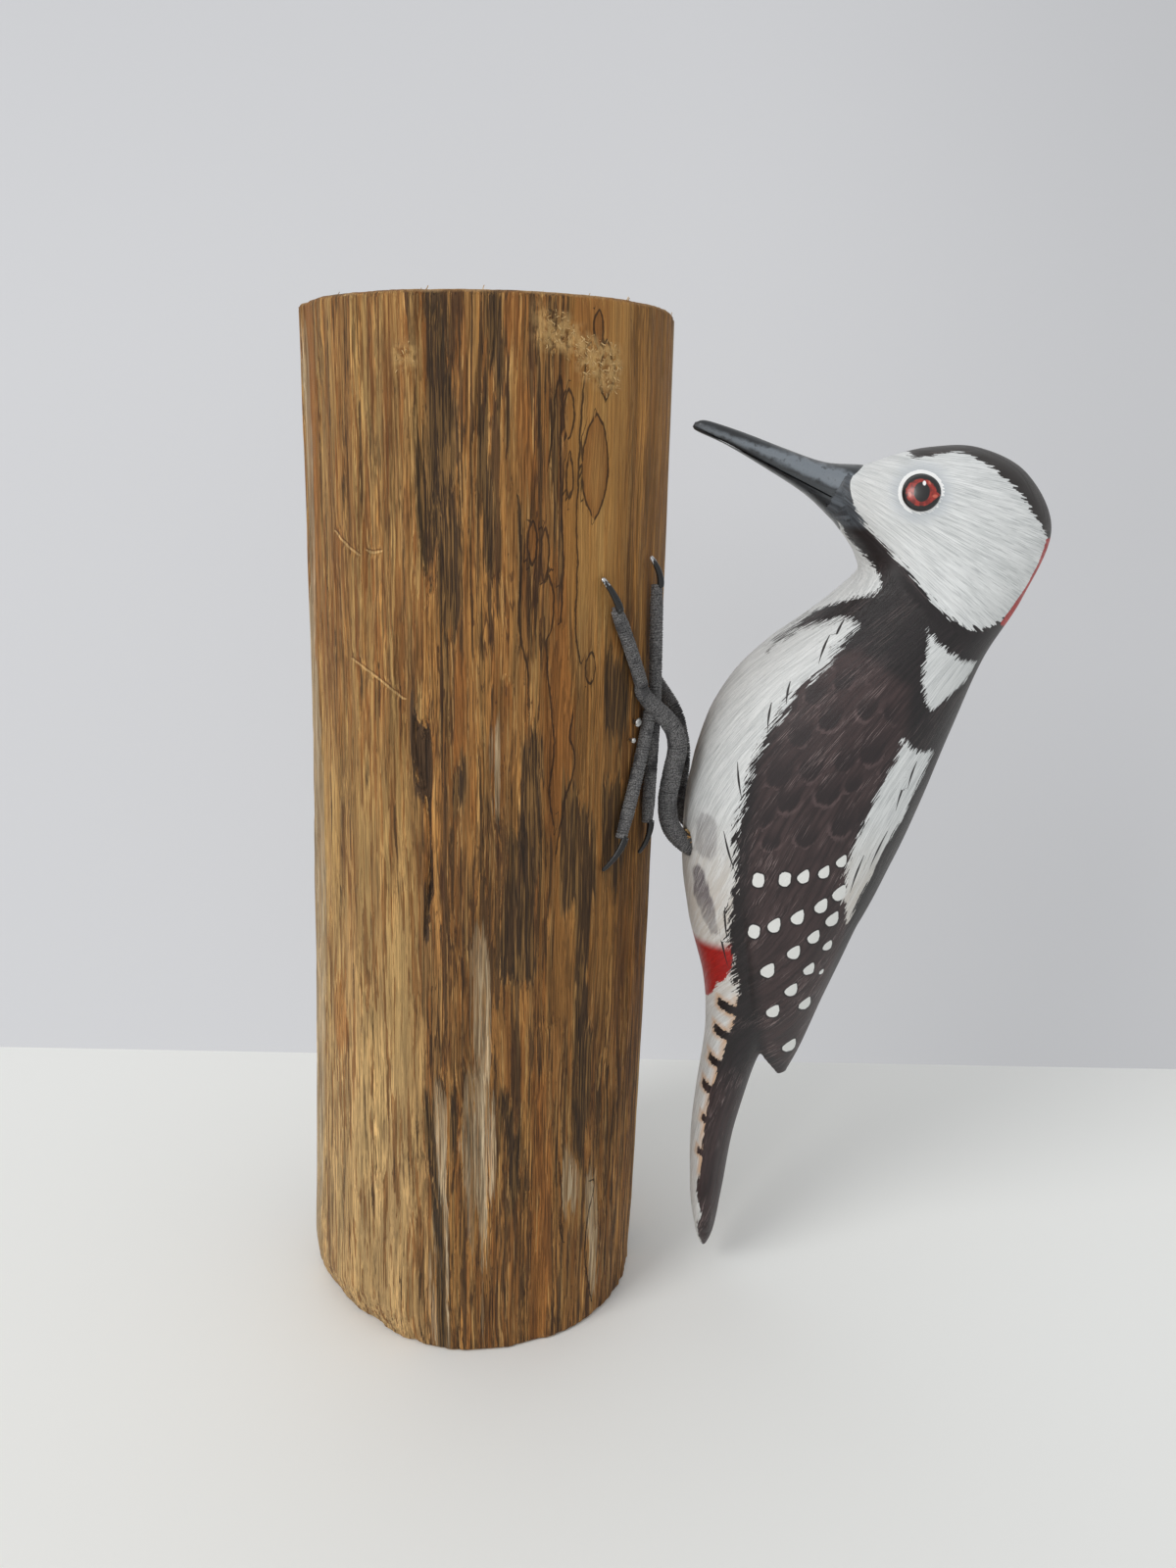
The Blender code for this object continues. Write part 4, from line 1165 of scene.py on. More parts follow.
def grain_distance(shapes, squeeze=ALONG_GRAIN):
    """How far each point is inside the nearest of these shapes, in millimetres across the grain."""
    scale = np.array((DEGREE, 1 / squeeze))
    unrolled = np.stack([degrees * DEGREE, height / squeeze], 1)
    inside = np.full(len(degrees), -FAR)
    for shape in shapes:
        outline = np.array(shape, float) * scale
        near = near_shape(unrolled, outline)
        inside[near] = np.maximum(inside[near], outline_distance(unrolled[near], smooth_outline(outline, 3)))
    return inside


def line_reach(line, smooth_steps=6, closed=False):
    """The distance to a line drawn on the unrolled side, in millimetres: above zero on one hand of it."""
    if closed:
        drawn = smooth_outline(np.array(line, float), smooth_steps)
        drawn = np.vstack([drawn, drawn[:1]])
    else:
        drawn = spline(line, np.linspace(0, len(line) - 1, (len(line) - 1) * smooth_steps + 1))
    drawn = drawn * (DEGREE, 1.0)
    unrolled = np.stack([degrees * DEGREE, height], 1)
    near = near_shape(unrolled, drawn)
    reach = np.full(len(degrees), FAR)
    best = reach[near]
    for a, b in zip(drawn, drawn[1:]):
        step, off = b - a, unrolled[near] - a
        size = piece_distance(unrolled[near], a, b)
        hand = np.where(step[0] * off[:, 1] > step[1] * off[:, 0], 1.0, -1.0)
        best = np.where(size < np.abs(best), size * hand, best)
    reach[near] = best
    return reach


def nearest_line(lines):
    """The signed distance to whichever line is nearest."""
    reaches = np.array([line_reach(*line) for line in lines])
    return reaches[np.argmin(np.abs(reaches), axis=0), np.arange(len(degrees))]


def pointed_oval(angle, z, half_wide, half_tall):
    """A closed lens with its points up and down the grain."""
    steps = np.linspace(-1, 1, 8)[:-1]
    return tuple((angle + hand * half_wide * (1 - t * t) ** 0.8, z + hand * half_tall * t)
                 for hand in (1, -1) for t in steps)


RINGS = tuple(pointed_oval(*size) for size in (
    (36, 186, 4.4, 9.4), (27.2, 195, 1.7, 4.6), (27.9, 184, 1.1, 4.0), (38.6, 202.5, 2.1, 5.2),
    (17.2, 172.5, 1.3, 4.2), (20.9, 170.5, 1.2, 5.2), (36.5, 149, 1.8, 3.2), (36, 209.5, 1.6, 3.4)))
STAINED_RINGS = (0, 3, 4, 7)
ZONE_LINES = (
    ((21.5, 186), (22.8, 193), (23.4, 199), (24.8, 201.5), (25.2, 196), (24.9, 188), (25.6, 178),
     (26.6, 168), (26.2, 158)),
    ((32, 206), (31.5, 199), (30.9, 192), (30.5, 183), (30.3, 176), (31, 168), (31, 156), (33, 150)),
    ((13, 181), (13.4, 175), (14.2, 168), (13.6, 160), (14.8, 154), (16.5, 149), (17, 142)),
    ((22, 167), (23.8, 163), (23.6, 157), (22, 155), (22.6, 149), (24, 143), (25.5, 133), (24.2, 126),
     (26, 118)),
    ((31, 141), (30.2, 136), (32, 132), (31, 127), (29.3, 124), (28.6, 120), (27, 112)),
    ((45, 36), (47.5, 35), (45, 29), (43.8, 20), (46, 10), (48.5, 4)),
    ((32, 44), (33.5, 34), (33, 28), (34.4, 24)),
)
SCRATCHES = (((-47, 173.5), (-42, 171.5), (-37, 169.8)), ((-33, 170.4), (-31, 170.3), (-29, 170.6)),
             ((-40, 150.0), (-35, 148.6), (-28, 146.4), (-21, 143.6)))
zone_side = nearest_line([(ring, 1, True) for ring in RINGS] + [(line,) for line in ZONE_LINES])
scratch_side = nearest_line([(line,) for line in SCRATCHES])
lines, scratch = np.abs(zone_side), np.abs(scratch_side)
ring_inside = grain_distance([RINGS[i] for i in STAINED_RINGS], 1.0)
print("zone lines cover", f"{(lines < 0.3).mean():.1%}", "of the side")

# %% [markdown]
# ## Relief of the log
# Peeling leaves ridges of fibre, steps where a layer came away, a deep gouge and a patch torn to fluff
# near the top. They are real relief, because they show on the log's outline and catch the raking light.

# %% Push the grid
PEEL_DEPTH, BAND_DEPTH, ROT_DEPTH, SAW_MARKS = 0.22, 0.28, 0.15, 0.12
GOUGE_DEPTH, SCRATCH_DEPTH, LINE_DEPTH = 1.3, 0.25, 0.1
behind = soft_step(74, 88, np.abs(degrees))
sides_dark = 5 * (noise(place, (7, 7, 75), 31) - 0.28) * behind - FAR * (1 - behind)
sides_pale = 5 * (noise(place, (9, 9, 60), 37) - 0.45) * behind - FAR * (1 - behind)
low_front = band(degrees, -15, -9, 9, 16) * soft_step(90, 62, height)
weathered = 2.5 * (noise(place, (2.6, 2.6, 44), 38) - 0.16) * low_front - FAR * (1 - low_front)
dark_reach = np.maximum(grain_distance(DARK_STREAKS), sides_dark)
pale_reach = np.max([grain_distance(PALE_STREAKS), sides_pale, weathered], axis=0)
gouge_reach, russet_reach, band_reach = (grain_distance(s) for s in (GOUGE, RUSSET_STREAKS, FLAT_BAND))
slope = height + 0.3 * (degrees - 30) + 1.5 * noise(place, (3, 3, 5), 46)
torn = np.maximum(band(degrees, 14, 22, 41, 46) * band(slope, 201.5, 204, 208, 211),
                  0.7 * band(degrees, -24, -21, -17, -14) * band(height, 201, 203, 205, 207))
layer = noise(place, (5.0, 5.0, 46), 4) + 0.12 * noise(place, (0.8, 0.8, 9), 5)
tear = 0.7 * noise(place, (0.9, 0.9, 12), 6)
relief = 0.10 * noise(place, (0.9, 0.9, 15), 1) + 0.13 * noise(place, (2.0, 2.0, 34), 2)
relief += 0.22 * noise(place, (6, 6, 70), 3)
relief += torn * (0.3 + 0.6 * noise(place, (2.2, 2.2, 1.6), 8) + 0.4 * noise(place, (0.8, 0.8, 1.6), 9))
for depth, where in ((PEEL_DEPTH, soft_step(0.14, 0.22, layer)), (PEEL_DEPTH, soft_step(0.42, 0.48, layer)),
                     (BAND_DEPTH, soft_step(-0.2, 0.3, band_reach + 0.3 * tear)),
                     (ROT_DEPTH, soft_step(-0.1, 0.3, dark_reach + tear)),
                     (GOUGE_DEPTH, soft_step(-0.1, 0.9, gouge_reach + 0.2 * tear)),
                     (SCRATCH_DEPTH, soft_step(1.1, 0.2, scratch)),
                     (LINE_DEPTH, soft_step(0.45, 0.1, lines))):
    relief -= depth * where
from_end = np.minimum(height, LOG_HEIGHT - height)
saw_marks = SAW_MARKS * noise(place, (1.2, 1.2, 0.6), 10) * soft_step(1.6, 0.3, from_end)
worn_back = inset * (1 + 0.25 * noise(place, (1.0, 1.0, 9), 12))
side_grid = on_side(degrees, height, relief + saw_marks - worn_back).reshape(len(heights), LOG_COLUMNS, 3)


def end_rings(rim, count):
    """Rings that close an end of the log, from its rim to its middle."""
    middle = rim.mean(axis=0)
    return middle + (rim - middle) * np.linspace(1, 0, count + 2)[1:-1, None, None]


TOP_RINGS, FOOT_RINGS = 24, 6
top_rings = end_rings(side_grid[-1], TOP_RINGS)
foot_rings = end_rings(side_grid[0], FOOT_RINGS)[::-1]
flat_top = top_rings.reshape(-1, 3)
top_rings[..., 2] -= (0.12 + 0.14 * noise(flat_top, (0.8, 14, 1), 21)
                      + 0.1 * noise(flat_top, (3, 3, 3), 22)).reshape(top_rings.shape[:2]).clip(0, 1)
log_grid = np.concatenate([foot_rings, side_grid, top_rings])
log_mesh = mesh_from_grid("log", log_grid * MM)
print("the log has", len(log_mesh.polygons), "faces")

# %% Values for the wood's colours
golden = soft_step(-8, -26, degrees + 6 * noise(place, (6, 6, 90), 41))
golden = golden * (0.55 + 0.45 * soft_step(190, 90, height))
golden = np.maximum(golden, 0.8 * band(degrees, 28, 33, 44, 50) * soft_step(140, 165, height))
golden = np.where(np.abs(degrees) > 80, 0.5 + 0.5 * noise(place, (16, 16, 120), 42), golden)
calm = soft_step(25.5, 28.5, degrees + 1.5 * noise(place, (2, 2, 14), 44))
calm *= soft_step(84, 72, degrees) * (1 - 0.5 * soft_step(44, 50, degrees))
high = soft_step(150, 165, height + 8 * noise(place, (3, 3, 30), 45))
rim = 0.15 + 0.5 * soft_step(0.2, 0.7, noise(place, (8, 8, 8), 51))
rim = rim * soft_step(0.8, 0.2, LOG_HEIGHT - height)
first = FOOT_RINGS * LOG_COLUMNS
for name, on_the_side, on_the_ends in (
        ("dark_wood", dark_reach, -FAR), ("russet_wood", russet_reach, -FAR),
        ("pale_wood", pale_reach, -FAR), ("gouge", gouge_reach, -FAR),
        ("ring_inside", ring_inside, -FAR), ("zone_line", lines, FAR), ("zone_side", zone_side, FAR),
        ("scratch", scratch, FAR), ("scratch_side", scratch_side, FAR), ("golden", golden, 0.5),
        ("torn", torn, 0.0),
        ("calm_wood", calm * np.maximum(high, 0.4 * soft_step(60, 90, height)), 0.0),
        ("end_grain", soft_step(0.6, 0.1, from_end), 1.0),
        ("fluff", np.maximum(soft_step(0.4, 0.8, torn), 0.4 * rim), 0.0)):
    values = np.full(len(log_mesh.vertices), on_the_ends)
    values[first:first + len(height)] = on_the_side
    set_values(log_mesh, name, values)
print("attributes on the log:", len(log_mesh.attributes))

# %% [markdown]
# ## Wood
# Log and splinters share one group that turns a place into fibre noise at three sizes, stretched along
# the grain. The log then mixes its browns over that: golden outer wood, brown inner wood, dark rot,
# russet stain, pale weathered patches and the black zone lines. The sawn ends use rings round the pith
# instead.

# %% The fibre group and the log's material
fibre_group, fibre_in, fibre_out = new_group(
    "wood fibre", [("Place", VECTOR, None), ("Stretch", FLOAT, 1.0)],
    [("Fine", FLOAT), ("Middle", FLOAT), ("Broad", FLOAT)])
stretch = add_node(fibre_group, "ShaderNodeCombineXYZ", {0: 1.0, 1: 1.0, 2: fibre_in["Stretch"]})
fibre_place = vector_sum("DIVIDE", fibre_in["Place"], stretch.outputs[0])
for label, size, detail, seed in (("Fine", (0.45, 0.45, 22.0), 3.0, 0.0),
                                  ("Middle", (1.3, 1.3, 42.0), 5.0, 5.0),
                                  ("Broad", (4.5, 4.5, 80.0), 3.0, 9.0)):
    feed(fibre_out, label, rise(noise_of(fibre_place, size, detail, 0.6, seed), 0.34, 0.66))
print("the fibre group has", len(fibre_group.nodes), "nodes")

log_wood, tree, shader = start_material("spalted wood", roughness=0.72, specular=0.3)
mm_place = millimetres(tree)
bend = minus(noise_of(mm_place, (9.0, 9.0, 40.0), 3.0, 0.5, 80.0), 0.5)
mm_place = vector_sum("MULTIPLY_ADD", (2.2, 2.2, 0.0), bend, mm_place)
fine, middle, broad = use_group(fibre_group, {"Place": mm_place, "Stretch": 1.0}).outputs
tear = plus(times(minus(fine, 0.5), 0.7), times(minus(middle, 0.5), 1.3))
golden, calm = stored(tree, "golden"), stored(tree, "calm_wood")
up_the_log = split(mm_place)[2]


def lumps(size, *more):
    """Noise over the log's own millimetres."""
    return noise_of(mm_place, size, *more)


def log_edge(name, low, high):
    """A mark from the unrolled side, its edge torn along the fibres."""
    return rise(plus(stored(tree, name), tear), low, high)


# %% Sound wood, rot and cracks
rough_wood = minus(1.0, times(calm, 0.68))
tone = plus(golden, times(minus(middle, 0.5), 0.9))
high_gold = times(rise(up_the_log, 115.0, 160.0), golden)
rot_limit = rise(golden, 0.0, 0.8, 0.52, 0.615)
cracks = maths("ABSOLUTE", minus(lumps((2.2, 2.2, 38.0), 4.0, 0.6, 52.0), 0.5))
crack_mask = times(rise(cracks, 0.03, 0.01), rise(lumps((4.0, 4.0, 18.0), 2.0, 0.5, 61.0), 0.42, 0.55))
wood = coats(lay_over((166, 118, 62), (120, 80, 40), broad),
             (lay_over((188, 150, 92), (156, 114, 64), broad), rise(tone, 0.05, 0.85)),
             ((206, 172, 120), golden, rise(up_the_log, 140.0, 30.0, 0.0, 0.65)),
             ((196, 156, 98), rise(fine, 0.25, 0.05), rough_wood, 0.45),
             ((126, 80, 36), rise(lumps((0.9, 0.9, 30.0), 5.0, 0.6, 21.0), 0.54, 0.56), rough_wood, 0.75),
             ((112, 60, 26), rise(lumps((0.8, 0.8, 24.0), 4.0, 0.6, 24.0), 0.53, 0.56), rough_wood,
              times(high_gold, 0.6)),
             ((72, 50, 29), rise(minus(lumps((1.0, 1.0, 38.0), 5.0, 0.64, 33.0), rot_limit), 0.0, 0.015),
              rough_wood, 0.85),
             ((76, 48, 27), rise(lumps((0.6, 0.6, 4.0), 3.0, 0.6, 40.0), 0.64, 0.67), rough_wood,
              rise(golden, 0.1, 0.8, 0.75, 0.3)),
             ((70, 44, 24), crack_mask, rough_wood, rise(golden, 0.1, 0.8, 0.8, 0.35)),
             ((182, 128, 60), calm, 0.42))
print("the sound wood takes", len(tree.nodes), "nodes")

# %% Streaks, zone lines, scratches and the gouge
wander = times_plus(lumps((1.2, 1.2, 2.2), 3.0), 0.7, -0.35)
from_rim = plus(stored(tree, "ring_inside"), wander)
inside = times(rise(from_rim, -0.1, 0.1), rise(from_rim, 3.0, 0.2, 0.3, 0.7))
line_away = maths("ABSOLUTE", plus(stored(tree, "zone_side"), wander))
line_mask = times(rise(line_away, 0.26, 0.12), rise(stored(tree, "zone_line"), 1.2, 0.9))
scratch_side = times_plus(wander, 0.4, stored(tree, "scratch_side"))
near_scratch = rise(stored(tree, "scratch"), 1.2, 0.8)
dark_mask = log_edge("dark_wood", 0.0, 0.35)
gouge_edge = times_plus(tear, 0.6, stored(tree, "gouge"))


def scratch_light_and_shade(from_side, to_side):
    """The part of a scratch that lies between two distances from its line, for its painted highlight and
    painted shadow.
    """
    off_line = maths("ABSOLUTE", minus(scratch_side, (from_side + to_side) / 2))
    half = (to_side - from_side) / 2
    return times(rise(off_line, half + 0.1, half - 0.06), near_scratch)


# Each scratch has a pale stripe on one side, a painted highlight on the lit edge of its step, and a dark
# stripe on the other, painted shadow.
wood = coats(wood,
             ((154, 98, 44), log_edge("russet_wood", -0.1, 0.6), 0.6),
             (lay_over((198, 178, 146), (152, 125, 90), middle), log_edge("pale_wood", 0.0, 0.3),
              rise(fine, 0.9, 0.3, 0.4, 0.95)),
             (lay_over((54, 39, 26), (118, 88, 50), rise(fine, 0.55, 0.8)), dark_mask, 0.88),
             ((138, 88, 40), inside),
             ((50, 32, 18), line_mask, 0.85),
             ((206, 168, 112), scratch_light_and_shade(-0.5, -0.15), 0.7),
             ((104, 64, 32), scratch_light_and_shade(0.0, 0.2), 0.7),
             (lay_over((52, 38, 28), (92, 68, 46), middle), rise(gouge_edge, -0.1, 0.2)))
print("with its marks it takes", len(tree.nodes))

# %% Fibre shade, fluff, the sawn ends and the relief
PITH = (6.0, -3.0)
fibre_shade = rise(lumps((0.3, 0.3, 14.0), 3.0, 0.65, 71.0), 0.41, 0.6, 1.26, 0.46)
fibre_shade = times(fibre_shade, rise(middle, 0.1, 0.9, 1.16, 0.84))
smooth_patches = rise(lumps((8.0, 8.0, 38.0), 3.0, 0.6, 90.0), 0.4, 0.6, 0.5, 1.0)
fibre_share = times(smooth_patches, rise(golden, 0.1, 0.9, 1.0, 0.85))
wood = lay_over(wood, fibre_shade, fibre_share, times_plus(calm, -0.5, 1.0), mode="MULTIPLY")
patch_shade = rise(lumps((3.4, 3.4, 46.0), 4.0, 0.7, 95.0), 0.4, 0.6, 1.18, 0.78)
wood = lay_over(wood, patch_shade, times_plus(calm, -0.7, 0.9), mode="MULTIPLY")
from_pith = vector_sum("MULTIPLY", vector_sum("ADD", mm_place, (-PITH[0], -PITH[1], 0.0)), (1.0, 1.0, 0.0))
from_pith = add_node(tree, "ShaderNodeVectorMath", {0: from_pith}, operation="LENGTH").outputs["Value"]
growth = maths("SINE", times(times_plus(lumps(7.0), 3.0, from_pith), 2.9))
end_tone = coats(lay_over((172, 138, 96), (144, 106, 66), rise(growth, 0.0, 1.0)),
                 ((96, 76, 56), rise(lumps((9.0, 9.0, 9.0), 4.0, 0.6, 3.0), 0.5, 0.66), 0.7),
                 ((84, 62, 42), rise(lumps((0.5, 0.5, 0.5), 2.0, 0.6, 8.0), 0.55, 0.8), 0.6))
wood = coats(wood, ((206, 168, 110), stored(tree, "torn"), rise(lumps(1.4, 3.0), 0.3, 0.6), 0.8),
             (end_tone, stored(tree, "end_grain")))
feed(shader, "Base Color", wood)
wood_relief = plus(times(fine, 0.55), times(middle, 0.45))
bump(shader, minus(wood_relief, times(dark_mask, 0.15)), 0.35 * MM, 0.9)
log_piece = make_object("log_bare_wood", log_mesh, log_wood)
print("the wood material has", len(tree.nodes), "nodes")

# %% [markdown]
# ## Growing repeated pieces along paths and over surfaces
# The winding on the feet and the splinters on the log repeat hundreds of times, so Geometry Nodes lays
# them. Each tree is built here with named inputs and a fixed seed, and its result is then kept as a plain
# mesh.


# %% A geometry tree, and what it grows
def new_tree(name, inputs):
    geometry = ("Geometry", "NodeSocketGeometry")
    return new_group(name, [(*geometry, None), *inputs, ("Material", MATERIAL, None)], [geometry],
                     "GeometryNodeTree")


def grow(tree, kind, inputs=None, **settings):
    """A geometry node's first output."""
    return add_node(tree, "GeometryNode" + kind, inputs, **settings).outputs[0]


def swept(tree, curve, resolution, radius):
    """A closed tube of a few sides along a curve."""
    shape = grow(tree, "CurvePrimitiveCircle", {"Resolution": resolution, "Radius": radius})
    return grow(tree, "CurveToMesh", {"Curve": curve, "Profile Curve": shape, "Fill Caps": True})


def named_number(tree, name):
    return grow(tree, "InputNamedAttribute", {"Name": name}, data_type="FLOAT")


def finish_tree(geometry, material, output):
    """Ends a geometry tree: real meshes with their material."""
    real = grow(geometry.id_data, "RealizeInstances", {"Geometry": geometry})
    feed(output, 0, grow(geometry.id_data, "SetMaterial", {"Geometry": real, "Material": material}))


def grown(name, mesh, tree, values, finish):
    """Runs a geometry tree on this mesh with these inputs, and keeps the result as a plain object."""
    holder = add_object(name + "_path", mesh)
    modifier = holder.modifiers.new("grow", "NODES")
    modifier.node_group = tree
    sockets = {item.name: item.identifier for item in tree.interface.items_tree if item.in_out == "INPUT"}
    for key, value in {**values, "Material": finish}.items():
        modifier[sockets[key]] = value
    return make_object(name, kept_mesh(holder), finish)


print("geometry trees end in Realize Instances and Set Material")

# %% [markdown]
# ## Thread wound on wire
# Each leg and toe is a wire wound tight with grey thread. The tree turns the path into a helix: it
# samples the path eleven times a turn, pushes each sample out round the path and gives that line the
# thickness of thread. A smooth core under it closes the gaps.

# %% The winding tree
STEPS_A_TURN, THREAD_SIDES, CORE_SIDES = 11, 6, 14
winding, start, wind_out = new_tree("thread winding", [
    ("Spacing", FLOAT, 0.6 * MM), ("Thread", FLOAT, 0.3 * MM), ("Wander", FLOAT, 0.3 * MM),
    ("Seed", FLOAT, 0.0)])
wire = grow(winding, "MeshToCurve", {"Mesh": start["Geometry"]})
wire_length = grow(winding, "CurveLength", {"Curve": wire})
steps = times(maths("DIVIDE", wire_length, start["Spacing"]), float(STEPS_A_TURN))
sampled = grow(winding, "ResampleCurve", {"Curve": wire, "Count": steps})
girth = named_number(winding, "girth")
index, normal, tangent, position = (grow(winding, "Input" + kind)
                                    for kind in ("Index", "Normal", "Tangent", "Position"))
angle = times(index, 2 * math.pi / STEPS_A_TURN)
uneven = add_node(winding, "ShaderNodeTexNoise", {"Vector": position, "W": start["Seed"], "Scale": 900.0,
                                                  "Detail": 1.0}, noise_dimensions="4D").outputs["Fac"]
out = times(minus(girth, start["Thread"]), times_plus(uneven, 0.12, 0.94))
side_a = scaled(normal, maths("COSINE", angle))
side_b = scaled(vector_sum("CROSS_PRODUCT", tangent, normal), maths("SINE", angle))
push = scaled(vector_sum("ADD", side_a, side_b), out)
shift = scaled(tangent, times(minus(uneven, 0.5), start["Wander"]))
helix = grow(winding, "SetPosition", {"Geometry": sampled, "Offset": vector_sum("ADD", push, shift)})
thread = swept(winding, helix, THREAD_SIDES, start["Thread"])
core_girth = minus(girth, times(start["Thread"], 1.35))
core_line = grow(winding, "SetCurveRadius", {"Curve": wire, "Radius": core_girth})
core = swept(winding, core_line, CORE_SIDES, 1.0)
feed(core.node, "Scale", core_girth)
both = add_node(winding, "GeometryNodeJoinGeometry", {0: thread})
feed(both, 0, core)
finish_tree(both.outputs[0], start["Material"], wind_out)
print("the winding tree has", len(winding.nodes), "nodes")

# %% Where the feet grip
FOOT_TURN = {"left": 0.0, "right": 6.0}
TOE_RADIUS, LEG_RADIUS, CLAW_RADIUS, GAP = 1.4, 2.1, 0.8, 0.3
# Each toe by the angle and height of its root, its end and the tip of its claw.
TOES = {
    "front_outer": ((24.0, 140.2), (40.2, 160.1), (44.6, 165.7)),
    "front_inner": ((18.2, 140.4), (20.7, 163.8), (23.0, 169.0)),
    "rear_outer": ((24.4, 133.0), (34.5, 114.0), (40.5, 108.2)),
    "rear_inner": ((18.4, 132.8), (19.7, 115.1), (22.1, 108.9)),
}
LEG_ROUTES = {
    "left": ((36.5, -13.6, 136.8), (39.8, -13.0, 135.9), (41.3, -12.0, 131.0), (40.4, -11.0, 125.0),
             (39.6, -10.0, 119.0), (40.2, -9.0, 113.6), (42.6, -8.0, 110.0), (47.0, -7.0, 107.0)),
    "right": ((34.6, 17.2, 136.8), (38.4, 15.8, 133.6), (40.2, 14.4, 128.6), (41.1, 13.0, 123.8),
              (41.0, 11.5, 118.6), (40.9, 10.2, 113.6), (43.4, 8.8, 109.6), (48.0, 7.4, 107.0)),
}


def on_log(angle, z, lift, word):
    """A place in the bird's frame, lifted off the log's side at this angle from the bird's own plane."""
    turn = math.radians(angle + FOOT_TURN[word]) * SIDES[word]
    reach = log_radius(math.degrees(BIRD_TURN + turn) + 90, z) + lift
    lean = (log_axis(z) - LOG_LEAN) * math.cos(BIRD_TURN)
    return np.array((reach * math.cos(turn) + lean, reach * math.sin(turn), z))


def toe_route(word, toe, count, first):
    """Places along a toe, lying on the log; `first` below zero starts it under the foot."""
    root, end, _ = np.array(TOES[toe])
    return np.array([on_log(*(root * (1 - t) + end * t), TOE_RADIUS + GAP, word)
                     for t in np.linspace(first, 1, count)])


def fine_path(route, widths, count):
    """A smooth path through a route's points, with the widths read between them."""
    where = np.linspace(0, len(route) - 1, count)
    return spline(route, where), np.interp(where, np.arange(len(route)), widths)


def wound(name, route, girths, finish, seed):
    """A wire wound with thread along a route in the bird's frame; the girths are its radii."""
    path, girths = fine_path(route, girths, (len(route) - 1) * 8 + 1)
    mesh = bpy.data.meshes.new(name)
    mesh.from_pydata(to_world(path).tolist(), [(i, i + 1) for i in range(len(path) - 1)], [])
    set_values(mesh, "girth", girths * MM)
    return grown(name, mesh, winding, {"Spacing": 0.5 * MM, "Thread": 0.32 * MM, "Wander": 0.8 * MM,
                                       "Seed": seed}, finish)


print("the legs are wound over", len(LEG_ROUTES["left"]), "places each")

# %% Grey thread, and the wound feet
thread_grey, tree, shader = start_material("grey thread", roughness=0.85, specular=0.25, sheen=0.12)
mm_place = millimetres(tree)
lint = noise_of(mm_place, (0.25, 0.25, 0.25), 3.0, 0.6)
worn = noise_of(mm_place, (3.5, 3.5, 5.0), 2.0, 0.5, 4.0)
grey = lay_over((62, 61, 62), (134, 133, 133), rise(lint, 0.36, 0.66))
grey = lay_over(grey, (56, 55, 57), rise(worn, 0.5, 0.7))
feed(shader, "Base Color", grey)
bump(shader, lint, 0.14 * MM, 1.0)

toe_girths = [TOE_RADIUS] * 6 + [TOE_RADIUS * 0.85]
feet = []
for word in SIDES:
    front = toe_route(word, "front_outer", 8, 0.1)
    leg = np.array(LEG_ROUTES[word])[::-1]
    girths = [LEG_RADIUS] * (len(leg) - 2) + [LEG_RADIUS * 0.95, TOE_RADIUS * 1.15] + toe_girths
    whole = np.vstack([leg[:-1], front])
    feet.append((wound(f"leg_{word}_wound", whole, girths, thread_grey, 1.0 + SIDES[word]),
                 (f"leg_{word}", f"toe_{word}_front_outer")))
    for n, (toe, first) in enumerate((("front_inner", -0.12), ("rear_outer", -0.3), ("rear_inner", -0.3))):
        node = f"toe_{word}_{toe}"
        route = toe_route(word, toe, 7, first)
        feet.append((wound(node + "_wound", route, toe_girths, thread_grey, 4.0 + n), (node,)))
print("the feet have", sum(len(piece.data.polygons) for piece, _ in feet), "faces")

# %% [markdown]
# ## Claws and nails
# The claws are the ends of the wires, hammered flat, hooked and painted black, with bright metal where
# the paint has chipped. Two nails hold each foot to the log. Both show bare steel through wear, so one
# group of nodes says where metal is bare and how scratched it is.

# %% The wear group and the metals
wear_group, wear_in, wear_out = new_group(
    "metal wear", [("Place", VECTOR, None), ("Amount", FLOAT, 0.5), ("Size", FLOAT, 0.6)],
    [("Bare", FLOAT), ("Scratches", FLOAT)])
wear_scaled = vector_sum("DIVIDE", wear_in["Place"], wear_in["Size"])
chips = noise_of(wear_scaled, 1.0, 3.0, 0.65, 2.0)
bare = rise(plus(chips, minus(wear_in["Amount"], 0.5)), 0.54, 0.6)
feed(wear_out, "Bare", bare)
feed(wear_out, "Scratches", noise_of(wear_scaled, (0.25, 1.6, 0.25), 2.0, 0.5, 6.0))


def worn_metal(name, painted, amount, size, bare_colour):
    """Painted metal, bare and scratched where its `tip` value and the noise say so."""
    finish, tree, shader = start_material(name, roughness=0.35, specular=0.5)
    tip = stored(tree, "tip")
    wear = use_group(wear_group, {"Place": millimetres(tree), "Size": size, "Amount": plus(tip, amount)})
    colour = lay_over(painted, bare_colour, wear.outputs["Bare"])
    feed(shader, "Base Color", colour)
    feed(shader, "Metallic", wear.outputs["Bare"])
    feed(shader, "Roughness", rise(wear.outputs["Scratches"], 0.2, 0.8, 0.22, 0.5))
    bump(shader, wear.outputs["Scratches"], 0.04 * MM, 0.7)
    return finish


claw_black = worn_metal("black claw wire", (22, 22, 23), 0.28, 0.7, (205, 207, 210))
nail_steel = worn_metal("nail steel", (70, 68, 66), 0.75, 0.8, (200, 200, 198))
print("the wear group has", len(wear_group.nodes), "nodes")

# %% Claws
CLAW_STEPS, CLAW_COLUMNS = 43, 24
CLAW_WIDE, CLAW_TALL, TIP_ROUNDING = 1.18, 0.85, 0.07


def unit(vector):
    return vector / np.linalg.norm(vector)


def circle(columns):
    """The cosine and sine of equal turns, as two columns."""
    turn = np.linspace(0, 2 * math.pi, columns, endpoint=False)[:, None]
    return np.cos(turn), np.sin(turn)


